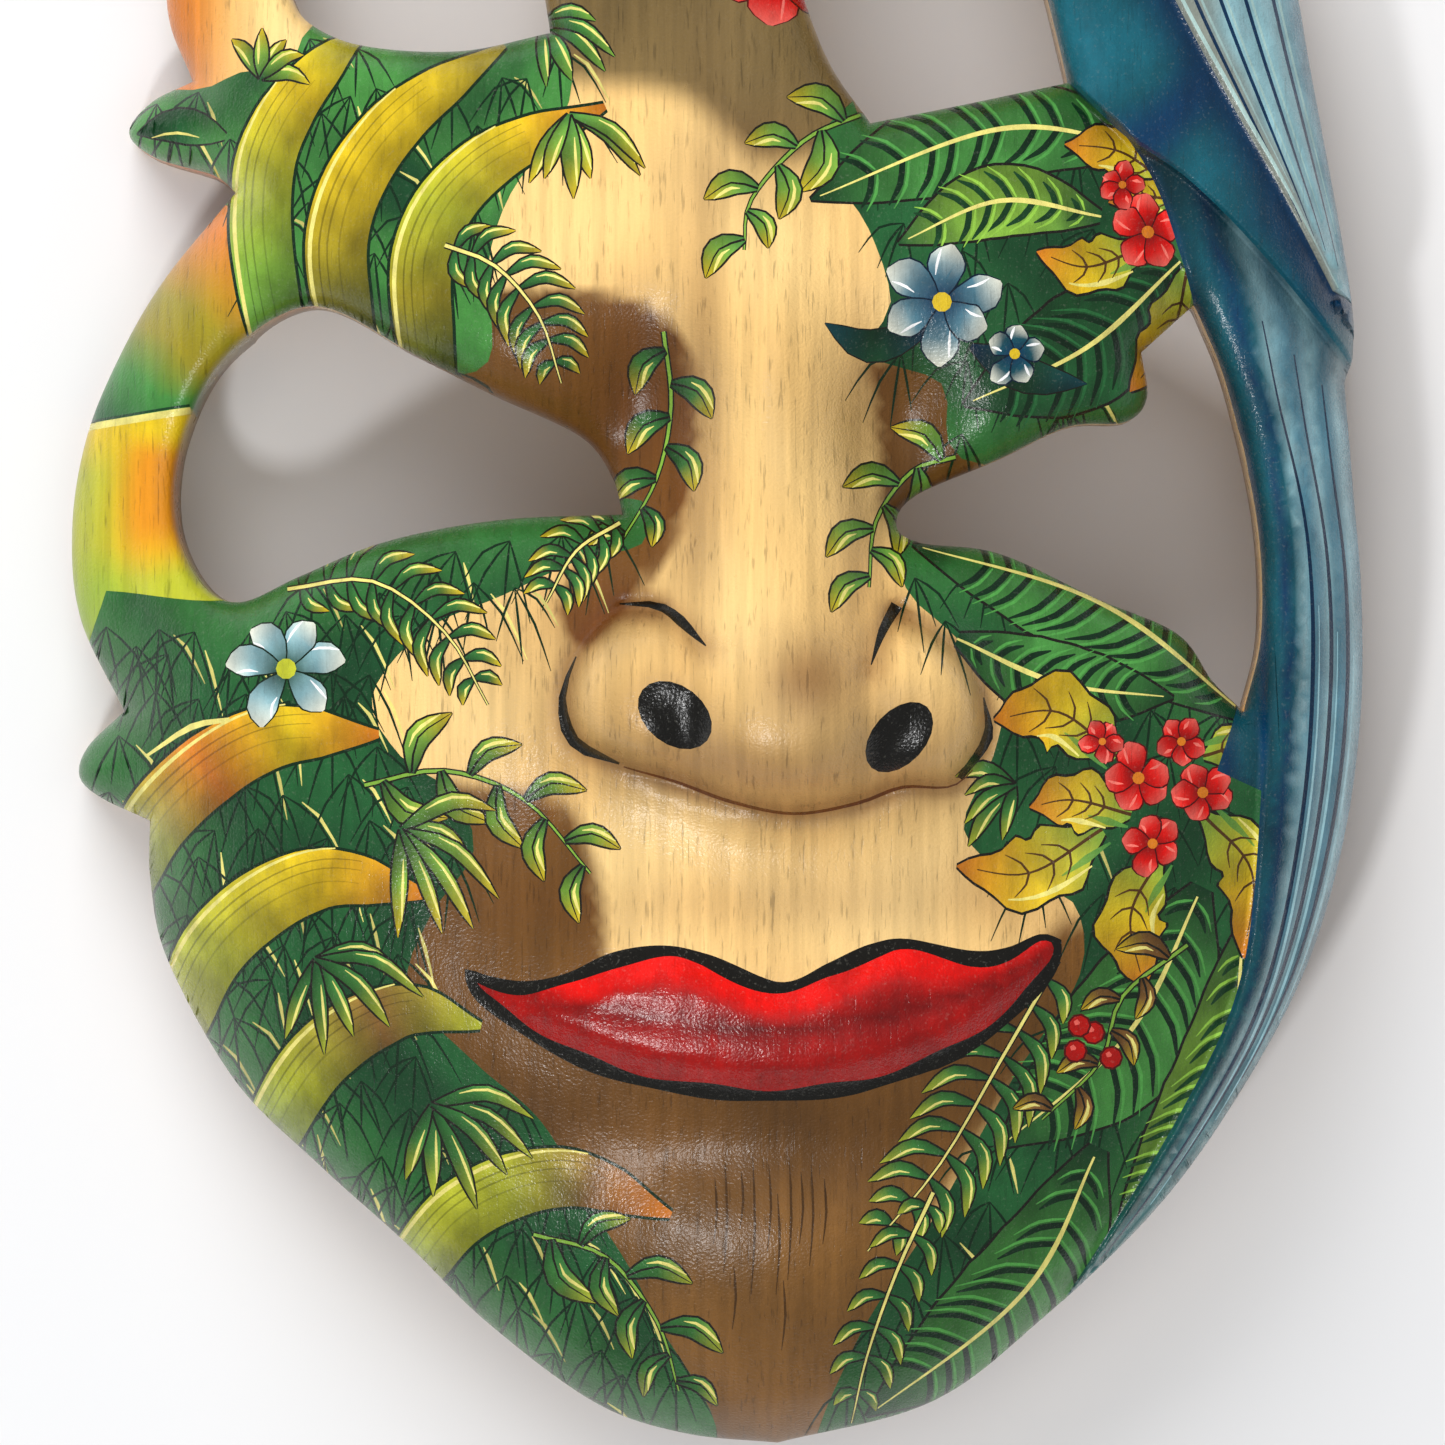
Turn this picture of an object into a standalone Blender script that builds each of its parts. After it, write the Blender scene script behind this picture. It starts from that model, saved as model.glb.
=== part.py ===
"""A carved and painted wooden face mask, lying on its flat back with the face up.

One block of wood: a broad face with a rounded nose and a wide mouth, two large open eyes, a bent
cane at one side, an openwork forehead of three uprights under a leafy crown, and a long-tailed bird
down the other side. The back is hollowed out inside a flat rim.

Metres, +Z out of the face, +Y to the crown, +X to the viewer's right. The origin is under the middle
of the mask, on the plane that its rim rests on.
"""

import math

import bmesh
import bpy
import numpy as np
from mathutils import Vector
from mathutils.geometry import delaunay_2d_cdt

# Driving sizes in metres
MASK_HEIGHT = 0.277
EDGE_HEIGHT = 0.009
FACE_RISE = 0.043
WALL = 0.015
RIM_WIDTH = 0.013
ROUND_OVER = 0.0070
NOSE_BASE_RISE = 0.006
NOSE_TIP_RISE = 0.0145
NOSTRIL_WING_RISE = 0.0105
NOSE_FILLET = 0.0040
BRIDGE_RISE = 0.0095
BRIDGE_WIDTH = (0.010, 0.012)
NOSTRIL_DEPTH = 0.0014
BROW_RISE = 0.0055
EYE_SOCKET_DEPTH = 0.0075
CHEEK_RISE = 0.0050
SMILE_FOLD_DEPTH = 0.0035
TRUNK_RISE = 0.0035
MOUTH_RISE = 0.0055
LIP_RISE = 0.0024
LIP_ROUND = 0.0050
CHIN_RISE = 0.0060
FLANK_RISE = 0.0030
WING_RISE = 0.0018
TAIL_RISE = 0.0014
CARVED_EDGE_WIDTH = 0.0018
HEAD_RISE = 0.005
FEATHER_GROOVE = 0.0012

TAIL_FEATHERS = 3
WING_FEATHERS = 4

# Spacing of the facets, in metres
EDGE_FACET = 0.0037
OPEN_FACET = 0.0054
FACE_FACET = 0.0027
LINE_FACET = 0.0034
LINE_MARGIN = 0.0012
ROUND_OVER_ANGLES = (28, 58)

# The free outlines below are drawn with 277 steps to the mask's height
STEP = MASK_HEIGHT / 277

# Each outline is a list of stretches. A stretch is smooth, and the outline turns a corner where two meet.
RIGHT_EDGE = [(1.7, 0), (23, 5.7), (38, 17), (55, 33.5), (67, 50.5), (75.6, 67), (80.6, 84), (83, 101),
              (83.2, 118), (82, 133), (80.8, 148)]
WING_EDGE = [(80.8, 148), (81.9, 152.5), (81.2, 162.5), (76.2, 190.5), (73.6, 205), (69, 220), (61.5, 234)]
CROWN_EDGE = [(61.5, 234), (57, 248), (44, 262), (24, 273), (0, 277), (-26, 273), (-50, 261), (-69, 244),
              (-82, 223), (-84, 202), (-80.2, 190.4)]
HORN_EDGE = [(-80.2, 190.4), (-86, 187.7), (-89.3, 183.4), (-85.5, 179.8), (-77, 177), (-73.8, 174.4)]
CANE_EDGE = [(-73.8, 174.4), (-84.3, 162.3), (-91, 151), (-95.4, 140), (-97.3, 127.5), (-96, 115),
             (-89.7, 102.2)]
KNOB_EDGE = [(-89.7, 102.2), (-95, 97.2), (-96.2, 93), (-93, 90), (-86, 86.9)]
LEFT_EDGE = [(-86, 86.9), (-86, 78.5), (-83.6, 67.3), (-74.1, 50.5), (-62.7, 39.3), (-50, 28), (-38.8, 17),
             (-23.8, 5.7), (-11.5, 1.4), (1.7, 0)]
OUTER_EDGE = [RIGHT_EDGE, WING_EDGE, CROWN_EDGE, HORN_EDGE, CANE_EDGE, KNOB_EDGE, LEFT_EDGE]

LEFT_EYE = [
    [(-19.7, 129.2), (-21.2, 134.5), (-25.6, 140.1), (-37.5, 145.8), (-48.4, 151.3), (-62.6, 158.2),
     (-75, 151.5), (-81.2, 140), (-82.2, 128.5), (-78.4, 119.8), (-72.8, 117.3), (-64.4, 120.8),
     (-52.5, 125.5), (-37, 128.4), (-19.7, 129.2)],
]
RIGHT_EYE = [
    [(51.8, 151.6), (52.6, 145.4), (49.6, 142), (41.6, 141.3), (32, 136.8), (20.7, 131.9), (17.9, 127.8),
     (21, 125.3), (32, 123.8), (45.6, 117.6), (56.8, 112.8), (61.7, 106.3), (66.1, 102.1)],
    [(66.1, 102.1), (68.6, 113), (68, 128.9), (64, 146.4), (60.2, 156.1), (59.1, 158.2)],
    [(59.1, 158.2), (55.3, 154.8), (51.8, 151.6)],
]
LEFT_FOREHEAD_GAP = [
    [(-29.7, 195.7), (-30.7, 202), (-32.5, 213), (-31, 225), (-27, 236), (-30, 244), (-42, 243.5),
     (-55, 235.5), (-65, 223), (-68.3, 211), (-66, 201.7), (-62.6, 197.3), (-55, 194.3), (-42, 193.4),
     (-29.7, 195.7)],
]
RIGHT_FOREHEAD_GAP = [
    [(14.4, 183), (27.3, 185.7), (41.6, 188.9)],
    [(41.6, 188.9), (38.5, 202), (35.5, 213), (32, 224), (27.5, 235), (20, 242.5), (11, 243), (4, 235.5),
     (1, 223), (2.6, 210), (5.3, 200), (9, 190.8), (14.4, 183)],
]
GAPS = [LEFT_EYE, RIGHT_EYE, LEFT_FOREHEAD_GAP, RIGHT_FOREHEAD_GAP]

# Carved lines on the front, in the same steps, each from its top to its bottom. The tail starts at
# the point of the bird's line that has this number.
BIRD_LINE = [(66, 249), (52, 257), (40, 256), (32, 248), (30, 236), (32, 224), (35.5, 213), (38.5, 202),
             (41.6, 189), (49.4, 181.3), (54, 173.7), (57.3, 164), (59.5, 157), (66.5, 137), (68.6, 113),
             (68.2, 90), (65.5, 65), (57, 46), (42, 21)]
TAIL_START = 9
FLANK_LINE = [(36, 196), (41.6, 188.9), (49.3, 181.3), (58.4, 175.1), (69.9, 163.8), (83, 148.5)]
WING_LINE = [(52, 226), (52.5, 212), (55.7, 201.7), (64.5, 185.5), (71, 174.4), (78.6, 160.4)]
MOUTH = [
    [(-41.9, 66.2), (-30.1, 65.2), (-13.3, 69.4), (1.4, 65.2), (17, 70.3), (31.5, 69.2), (40.2, 71.2)],
    [(40.2, 71.2), (37, 63.5), (26, 54.7), (4.9, 48.9), (-9.1, 49.4), (-28.7, 57.5), (-41.9, 66.2)],
]

# The oval that the face swells over, in steps: its centre, half width, and half height below and above
OVAL_CENTRE = (0, 110)
FACE_OVAL = (88, 112, 168)

# Soft swellings and hollows: centre and spread in steps, and the rise
SOFT_FORMS = [
    # brows
    ((-31, 158), (20, 10), BROW_RISE),
    ((30, 161), (19, 11), BROW_RISE * 0.9),
    # eye sockets beside the bridge
    ((-17, 142), (7, 10), -EYE_SOCKET_DEPTH),
    ((18.5, 140), (6, 8), -EYE_SOCKET_DEPTH * 0.87),
    # cheeks
    ((-50, 87), (24, 20), CHEEK_RISE),
    ((46, 90), (19, 19), CHEEK_RISE * 0.9),
    # folds from the nose to the mouth
    ((-34, 84), (8, 10), -SMILE_FOLD_DEPTH),
    ((36, 84), (7, 9), -SMILE_FOLD_DEPTH * 0.7),
    # trunk, from the brows up into the crown
    ((-6, 200), (11, 26), TRUNK_RISE),
    ((-11, 247), (12, 24), TRUNK_RISE),
    # mouth, the dip under it, and the chin
    ((-1, 61), (33, 15), MOUTH_RISE),
    ((2, 42), (24, 6), -CHIN_RISE / 2),
    ((2, 25), (21, 15), CHIN_RISE),
]
BRIDGE = ((-1, 178), (2.5, 108))
NOSE_BASE = ((2.4, 106), (28, 20))
NOSE_TIP = ((2.5, 102.5), (15, 14.5))
NOSTRIL_WINGS = [((-16, 104.5), (12, 11.5)), ((20.6, 103), (11, 12))]
NOSTRILS = [((-12.4, 101.6), (4.6, 3.0), -38), ((18, 98.6), (4.6, 2.7), 48)]
BIRD_HEAD = ((44, 238), (13, 12))


def smooth_line(points, facet):
    """Points about one facet apart on a smooth curve through the given ones, both ends included."""
    knots = np.array(points, float)
    ends = np.vstack([2 * knots[0] - knots[1], knots, 2 * knots[-1] - knots[-2]])
    line = []
    for before, start, stop, after in zip(ends, ends[1:], ends[2:], ends[3:]):
        count = max(1, round(float(np.linalg.norm(stop - start)) * STEP / facet))
        t = np.linspace(0, 1, count, endpoint=False)[:, None]
        line.append(0.5 * (2 * start + (stop - before) * t
                           + (2 * before - 5 * start + 4 * stop - after) * t ** 2
                           + (3 * start - 3 * stop + after - before) * t ** 3))
    return np.vstack(line + [knots[-1:]])


def closed_outline(stretches, facet):
    return np.vstack([smooth_line(stretch, facet)[:-1] for stretch in stretches])


def distance_to(points, line):
    """Each point's distance to the polyline, or to the loop if its last point repeats its first."""
    nearest = np.full(len(points), np.inf)
    for start, stop in zip(line, line[1:]):
        along = stop - start
        share = np.clip((points - start) @ along / max(along @ along, 1e-12), 0, 1)
        gap = points - start - share[:, None] * along
        nearest = np.minimum(nearest, np.hypot(gap[:, 0], gap[:, 1]))
    return nearest


def inside(points, loop):
    """True for each point inside the loop, by counting crossings."""
    x, y = points[:, 0], points[:, 1]
    result = np.zeros(len(points), bool)
    for (x0, y0), (x1, y1) in zip(loop, np.roll(loop, -1, axis=0)):
        if y0 == y1:
            continue
        crosses = (y0 > y) != (y1 > y)
        result ^= crosses & (x < (x1 - x0) * (y - y0) / (y1 - y0) + x0)
    return result


def loop_distance(points, loop):
    return distance_to(points, np.vstack([loop, loop[:1]]))


def side_of(points, line):
    """From 0 on the line's right-hand side to 1 on its left, easing over a carved edge's width."""
    nearest = np.full(len(points), np.inf)
    sign = np.zeros(len(points))
    for start, stop in zip(line, line[1:]):
        along = stop - start
        share = np.clip((points - start) @ along / max(along @ along, 1e-12), 0, 1)
        gap = points - start - share[:, None] * along
        far = np.hypot(gap[:, 0], gap[:, 1])
        closer = far < nearest - 1e-9
        nearest = np.where(closer, far, nearest)
        turn = along[0] * (points[:, 1] - start[1]) - along[1] * (points[:, 0] - start[0])
        sign = np.where(closer, np.sign(turn), sign)
    return ease(0.5 + sign * nearest * STEP / CARVED_EDGE_WIDTH)


def ease(t):
    t = np.clip(t, 0, 1)
    return t * t * (3 - 2 * t)


def blend_up(a, b, softness):
    """The higher of two heights, with a soft fillet where they cross."""
    share = np.maximum(softness - np.abs(a - b), 0) / softness
    return np.maximum(a, b) + share * share * softness / 4


def oval_radius(points):
    """0 at the oval's centre and 1 on the oval."""
    half_width, below, above = FACE_OVAL
    off = points - np.array(OVAL_CENTRE)
    return np.hypot(off[:, 0] / half_width, off[:, 1] / np.where(off[:, 1] < 0, below, above))


def swelling(points):
    """The face's broad rounded form, before anything is carved on it."""
    room = 1 - oval_radius(points) ** 2
    room = 0.5 * (room + np.sqrt(room ** 2 + 0.02))
    height = EDGE_HEIGHT + FACE_RISE * np.sqrt(room)
    for centre, spread, rise in SOFT_FORMS:
        u = (points - centre) / spread
        height += rise * np.exp(-0.5 * (u ** 2).sum(1))
    return height


def mound(points, centre, spread, rise):
    """A swelling with a full top and soft flanks."""
    u = (points - np.array(centre)) / spread
    return rise * np.exp(-(u ** 2).sum(1) ** 1.6)


def nose(points, skin):
    """Bridge, tip, nostril wings and nostrils on the face's skin."""
    top, bottom = np.array(BRIDGE, float)
    along = bottom - top
    share = np.clip((points - top) @ along / (along @ along), 0, 1)
    off = points - top - share[:, None] * along
    width = (BRIDGE_WIDTH[0] + share * (BRIDGE_WIDTH[1] - BRIDGE_WIDTH[0])) / STEP
    rise = BRIDGE_RISE * ease(share * 2.2)
    base = skin + mound(points, *NOSE_BASE, NOSE_BASE_RISE)
    height = base + rise * np.exp(-0.9 * (off ** 2).sum(1) / width ** 2)
    for centre, spread in NOSTRIL_WINGS:
        height = blend_up(height, base + mound(points, centre, spread, NOSTRIL_WING_RISE), NOSE_FILLET)
    height = blend_up(height, base + mound(points, *NOSE_TIP, NOSE_TIP_RISE), NOSE_FILLET)
    for centre, spread, turn in NOSTRILS:
        angle = math.radians(turn)
        off = points - np.array(centre)
        u = (off[:, 0] * math.cos(angle) + off[:, 1] * math.sin(angle)) / spread[0]
        v = (off[:, 1] * math.cos(angle) - off[:, 0] * math.sin(angle)) / spread[1]
        height = height - NOSTRIL_DEPTH * np.exp(-(u ** 2 + v ** 2))
    return height


def lips(points):
    loop = closed_outline(MOUTH, EDGE_FACET)
    depth = np.where(inside(points, loop), loop_distance(points, loop), 0)
    return LIP_RISE * ease(depth * STEP / LIP_ROUND)


def share_across(points, inner, outer):
    """0 on the inner line, 1 on the outer one, and the share of the way between them elsewhere."""
    near = distance_to(points, inner)
    far = distance_to(points, outer)
    return near / np.maximum(near + far, 1e-9)


def feathers(points, inner, outer, count):
    """From 0 on a feather's crest to 1 in the groove beside it."""
    return np.abs(np.cos(math.pi * count * share_across(points, inner, outer))) ** 2


def bird(points):
    """Tail, flank, wing and head, as steps and grooves added to the skin."""
    tail_line = smooth_line(BIRD_LINE[TAIL_START:], EDGE_FACET)
    wing_line = smooth_line(WING_LINE, EDGE_FACET)
    outer = np.vstack([smooth_line(RIGHT_EDGE, EDGE_FACET), smooth_line(WING_EDGE, EDGE_FACET)])
    on_bird = side_of(points, smooth_line(BIRD_LINE, EDGE_FACET))
    on_flank = side_of(points, smooth_line(FLANK_LINE, EDGE_FACET))
    on_wing = side_of(points, wing_line) * (points[:, 1] < WING_LINE[0][1])
    height = on_bird * (TAIL_RISE + on_flank * (FLANK_RISE + on_wing * WING_RISE))
    on_tail = on_bird * (1 - on_flank)
    height -= FEATHER_GROOVE * on_tail * feathers(points, tail_line, outer, TAIL_FEATHERS)
    height -= FEATHER_GROOVE * on_flank * on_wing * feathers(points, wing_line, outer, WING_FEATHERS)
    centre, spread = BIRD_HEAD
    u = (points - centre) / spread
    return height + HEAD_RISE * np.exp(-1.2 * (u ** 2).sum(1) ** 1.5)


def skin_height(points):
    """The front before its edges are rounded over."""
    return nose(points, swelling(points)) + lips(points) + bird(points)


def front_height(points, edge_gap):
    """The carved front. Near any edge it falls away in a quarter round."""
    short = np.clip(1 - edge_gap * STEP / ROUND_OVER, 0, 1)
    return skin_height(points) - ROUND_OVER * (1 - np.sqrt(1 - short ** 2))


def within(points, loops, margin):
    """True for each point in the wood and at least the margin from every edge."""
    keep = inside(points, loops[0])
    for gap in loops[1:]:
        keep &= ~inside(points, gap)
    for loop in loops:
        keep &= loop_distance(points, loop) > margin
    return keep


def grid_points(loops, facet, margin):
    """Points on a triangular grid in the wood."""
    low, high = loops[0].min(0), loops[0].max(0)
    facet = facet / STEP
    rows = np.arange(low[1], high[1], facet * math.sqrt(3) / 2)
    points = np.array([(x + facet / 2 * (row % 2), y)
                       for row, y in enumerate(rows) for x in np.arange(low[0], high[0], facet)])
    return points[within(points, loops, margin)]


def edge_rings(loops):
    """Points just inside each edge that carry its round-over."""
    found = []
    for number, loop in enumerate(loops):
        before, after = np.roll(loop, 1, axis=0), np.roll(loop, -1, axis=0)
        along = after - before
        across = np.stack([-along[:, 1], along[:, 0]], 1) / np.linalg.norm(along, axis=1)[:, None]
        area = np.sum(loop[:, 0] * after[:, 1] - after[:, 0] * loop[:, 1])
        into_wood = across * (1 if (area > 0) == (number == 0) else -1)
        for angle in ROUND_OVER_ANGLES:
            depth = ROUND_OVER / STEP * (1 - math.cos(math.radians(angle)))
            ring = loop + into_wood * depth
            found.append(ring[within(ring, loops, 0.93 * depth)])
    return np.vstack(found)


def spaced(groups):
    """The points of each group that keep its gap from every point taken before them."""
    cells = {}
    taken = []
    for points, gap in groups:
        reach = math.ceil(gap)
        for x, y in points:
            column, row = int(x // 1), int(y // 1)
            around = [q for i in range(column - reach, column + reach + 1)
                      for j in range(row - reach, row + reach + 1) for q in cells.get((i, j), ())]
            if all(math.hypot(x - a, y - b) > gap for a, b in around):
                cells.setdefault((column, row), []).append((x, y))
                taken.append((x, y))
    return taken


def beside(line, offset):
    """The line moved over by the offset, to its left where that is above zero."""
    along = np.gradient(line, axis=0)
    across = np.stack([-along[:, 1], along[:, 0]], 1) / np.linalg.norm(along, axis=1)[:, None]
    return line + across * offset


def along_line(line, shares):
    lengths = np.concatenate([[0], np.cumsum(np.linalg.norm(np.diff(line, axis=0), axis=1))])
    at = shares * lengths[-1]
    return np.stack([np.interp(at, lengths, line[:, 0]), np.interp(at, lengths, line[:, 1])], 1)


def carved_lines():
    """Lines that the facets follow: the mouth, the steps round the bird, and its feathers."""
    bird_line = smooth_line(BIRD_LINE, LINE_FACET)
    tail_line = smooth_line(BIRD_LINE[TAIL_START:], LINE_FACET)
    flank_line = smooth_line(FLANK_LINE, LINE_FACET)
    wing_line = smooth_line(WING_LINE, LINE_FACET)
    mouth = closed_outline(MOUTH, LINE_FACET)
    lines = [np.vstack([mouth, mouth[:1]])]
    for line in (flank_line, bird_line, wing_line):
        lines += [beside(line, side * CARVED_EDGE_WIDTH / STEP / 2) for side in (1, -1)]
    tail_edge = smooth_line(RIGHT_EDGE[2:], EDGE_FACET)[::-1]
    wing_edge = smooth_line(WING_EDGE[1:], EDGE_FACET)[::-1]
    for inner, outer, count in ((tail_line, tail_edge, TAIL_FEATHERS), (wing_line, wing_edge, WING_FEATHERS)):
        steps = np.linspace(0, 1, len(inner))
        a, b = along_line(inner, steps), along_line(outer, steps)
        for half in range(1, 2 * count):
            low, high = np.zeros(len(a)), np.ones(len(a))
            for _ in range(9):
                trial = (low + high) / 2
                short = share_across(a + (b - a) * trial[:, None], inner, outer) < half / (2 * count)
                low, high = np.where(short, trial, low), np.where(short, high, trial)
            lines.append(a + (b - a) * trial[:, None])
    return lines


def face_sheet(loops):
    """The mask's flat outline as triangles whose corners follow its edges and its carved lines."""
    points = [Vector(p) for p in np.vstack(loops)]
    edges = []
    start = 0
    for loop in loops:
        edges += [(start + i, start + (i + 1) % len(loop)) for i in range(len(loop))]
        start += len(loop)
    for line in carved_lines():
        line = line[within(line, loops, LINE_MARGIN / STEP)]
        gaps = np.linalg.norm(np.diff(line, axis=0), axis=1)
        joined = np.flatnonzero(gaps * STEP < 2 * LINE_FACET) + len(points)
        edges += [(int(i), int(i) + 1) for i in joined]
        points += [Vector(p) for p in line]
    margin = ROUND_OVER / STEP * 0.5 + 1.6
    fine = grid_points(loops, FACE_FACET, margin)
    nose_area = (np.abs(fine[:, 0] - 2) < 32) & (np.abs(fine[:, 1] - 103) < 19)
    mouth_area = (np.abs(fine[:, 0] + 1) < 44) & (np.abs(fine[:, 1] - 60) < 16)
    taken = np.array([tuple(p) for p in points])
    coarse = grid_points(loops, OPEN_FACET, margin)
    features = fine[nose_area | mouth_area]
    free = spaced([(taken, 0), (edge_rings(loops), 0.8), (features, FACE_FACET / STEP * 0.62),
                   (coarse, OPEN_FACET / STEP * 0.68)])[len(points):]
    made = delaunay_2d_cdt(points + [Vector(p) for p in free], edges, [], 0, 1e-5)
    flat = np.array([tuple(p) for p in made[0]])
    faces = np.array(made[2])
    return flat, faces[within(flat[faces].mean(1), loops, 0)]


def carved_block():
    """The outline sheet, pulled up into a block whose top is the carved front."""
    loops = [closed_outline(OUTER_EDGE, EDGE_FACET)] + [closed_outline(gap, EDGE_FACET) for gap in GAPS]
    flat, faces = face_sheet(loops)
    edge_gap = np.min([loop_distance(flat, loop) for loop in loops], axis=0)
    height = front_height(flat, edge_gap)
    spots = (flat - middle_of_mask()) * STEP
    mesh = bmesh.new()
    verts = [mesh.verts.new((x, y, z)) for (x, y), z in zip(spots, height)]
    for face in faces:
        mesh.faces.new([verts[i] for i in face])
    front = set(mesh.verts)
    bmesh.ops.extrude_face_region(mesh, geom=mesh.faces[:], use_keep_orig=True)
    back = [v for v in mesh.verts if v not in front]
    for v in back:
        v.co.z = 0
    bmesh.ops.recalc_face_normals(mesh, faces=mesh.faces)
    flat_edges = [e for e in mesh.edges if not front & set(e.verts)]
    bmesh.ops.dissolve_limit(mesh, angle_limit=0.001, verts=back, edges=flat_edges)
    data = bpy.data.meshes.new("mask")
    mesh.to_mesh(data)
    mesh.free()
    return data


def middle_of_mask():
    outline = closed_outline(OUTER_EDGE, EDGE_FACET)
    return (outline.min(0) + outline.max(0)) / 2


def hollow_cutter():
    """An egg-shaped dome that follows the face's swelling at the wall's distance."""
    mesh = bmesh.new()
    bmesh.ops.create_uvsphere(mesh, u_segments=48, v_segments=24, radius=1)
    middle = middle_of_mask()
    half_width, below, above = FACE_OVAL
    for v in mesh.verts:
        reach = (below if v.co.y < 0 else above) * STEP - RIM_WIDTH
        v.co.x = (OVAL_CENTRE[0] - middle[0]) * STEP + v.co.x * (half_width * STEP - RIM_WIDTH)
        v.co.y = (OVAL_CENTRE[1] - middle[1]) * STEP + v.co.y * reach
        v.co.z *= (EDGE_HEIGHT + FACE_RISE - WALL) if v.co.z > 0 else 0.002
    data = bpy.data.meshes.new("hollow")
    mesh.to_mesh(data)
    mesh.free()
    return data


def painted_wood():
    material = bpy.data.materials.new("painted_wood")
    material.use_nodes = True
    shader = material.node_tree.nodes["Principled BSDF"]
    shader.inputs["Base Color"].default_value = (0.16, 0.24, 0.06, 1)
    shader.inputs["Roughness"].default_value = 0.35
    shader.inputs["Metallic"].default_value = 0
    return material


def main():
    for old in list(bpy.data.objects):
        bpy.data.objects.remove(old)
    pieces = bpy.data.collections.new("goddess mask")
    cutters = bpy.data.collections.new("cutters")
    for collection in (pieces, cutters):
        bpy.context.scene.collection.children.link(collection)
    hollow = bpy.data.objects.new("hollow", hollow_cutter())
    hollow.hide_render = True
    hollow.display_type = "WIRE"
    cutters.objects.link(hollow)
    data = carved_block()
    data.materials.append(painted_wood())
    mask = bpy.data.objects.new("mask", data)
    pieces.objects.link(mask)
    cut = mask.modifiers.new("hollow", "BOOLEAN")
    cut.operation = "DIFFERENCE"
    cut.solver = "EXACT"
    cut.object = hollow
    data.shade_smooth()
    data.set_sharp_from_angle(angle=math.radians(35))


main()
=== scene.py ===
"""A carved and painted wooden face mask on its back on a pale table, seen from straight above.

Drawing positions are in steps of STEP metres, and the mask is 277 steps from chin to crown. Heights are
in metres.
"""

import math

import bpy
import numpy as np
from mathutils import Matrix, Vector
from mathutils.geometry import delaunay_2d_cdt
from mathutils.kdtree import KDTree


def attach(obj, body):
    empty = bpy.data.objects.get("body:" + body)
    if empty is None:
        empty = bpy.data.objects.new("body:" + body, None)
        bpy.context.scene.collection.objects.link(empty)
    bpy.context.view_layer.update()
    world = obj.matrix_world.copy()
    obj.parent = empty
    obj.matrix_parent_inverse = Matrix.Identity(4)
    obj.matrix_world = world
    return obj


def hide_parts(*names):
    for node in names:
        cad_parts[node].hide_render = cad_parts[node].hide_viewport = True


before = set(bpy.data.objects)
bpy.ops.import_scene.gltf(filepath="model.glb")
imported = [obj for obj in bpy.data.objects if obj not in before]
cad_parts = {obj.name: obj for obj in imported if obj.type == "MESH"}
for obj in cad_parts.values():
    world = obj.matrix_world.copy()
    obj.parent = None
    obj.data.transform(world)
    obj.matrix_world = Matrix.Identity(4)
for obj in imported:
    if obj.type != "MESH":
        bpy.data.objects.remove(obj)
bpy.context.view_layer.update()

# The block. One piece of light, straight-grained wood, sawn to this outline, with two eyes and two gaps
# in the forehead cut through. Each stretch of an outline is smooth, and it turns a corner at its ends.

STEP = 0.001
RIGHT_EDGE = [
    (1.7, 0), (23, 5.7), (38, 17), (55, 33.5), (67, 50.5), (75.6, 67), (80.6, 84), (83, 101), (83.2, 118),
    (82, 133), (80.8, 148)]
WING_EDGE = [(80.8, 148), (81.9, 152.5), (81.2, 162.5), (76.2, 190.5), (73.6, 205), (69, 220), (61.5, 234)]
CROWN_EDGE = [
    (61.5, 234), (57, 248), (44, 262), (24, 273), (0, 277), (-26, 273), (-50, 261), (-69, 244), (-82, 223),
    (-84, 202), (-80.2, 190.4)]
HORN_EDGE = [(-80.2, 190.4), (-86, 187.7), (-89.3, 183.4), (-85.5, 179.8), (-77, 177), (-73.8, 174.4)]
CANE_EDGE = [
    (-73.8, 174.4), (-84.3, 162.3), (-91, 151), (-95.4, 140), (-97.3, 127.5), (-96, 115), (-89.7, 102.2)]
KNOB_EDGE = [(-89.7, 102.2), (-95, 97.2), (-96.2, 93), (-93, 90), (-86, 86.9)]
LEFT_EDGE = [
    (-86, 86.9), (-86, 78.5), (-83.6, 67.3), (-74.1, 50.5), (-62.7, 39.3), (-50, 28), (-38.8, 17),
    (-23.8, 5.7), (-11.5, 1.4), (1.7, 0)]
LEFT_EYE = [
    (-19.7, 129.2), (-21.2, 134.5), (-25.6, 140.1), (-37.5, 145.8), (-48.4, 151.3), (-62.6, 158.2),
    (-75, 151.5), (-81.2, 140), (-82.2, 128.5), (-78.4, 119.8), (-72.8, 117.3), (-64.4, 120.8),
    (-52.5, 125.5), (-37, 128.4), (-19.7, 129.2)]
RIGHT_EYE = [
    (51.8, 151.6), (52.6, 145.4), (49.6, 142), (41.6, 141.3), (32, 136.8), (20.7, 131.9), (17.9, 127.8),
    (21, 125.3), (32, 123.8), (45.6, 117.6), (56.8, 112.8), (61.7, 106.3), (66.1, 102.1)]
RIGHT_EYE_TAIL_SIDE = [(66.1, 102.1), (68.6, 113), (68, 128.9), (64, 146.4), (60.2, 156.1), (59.1, 158.2)]
RIGHT_EYE_NOTCH = [(59.1, 158.2), (55.3, 154.8), (51.8, 151.6)]
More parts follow.
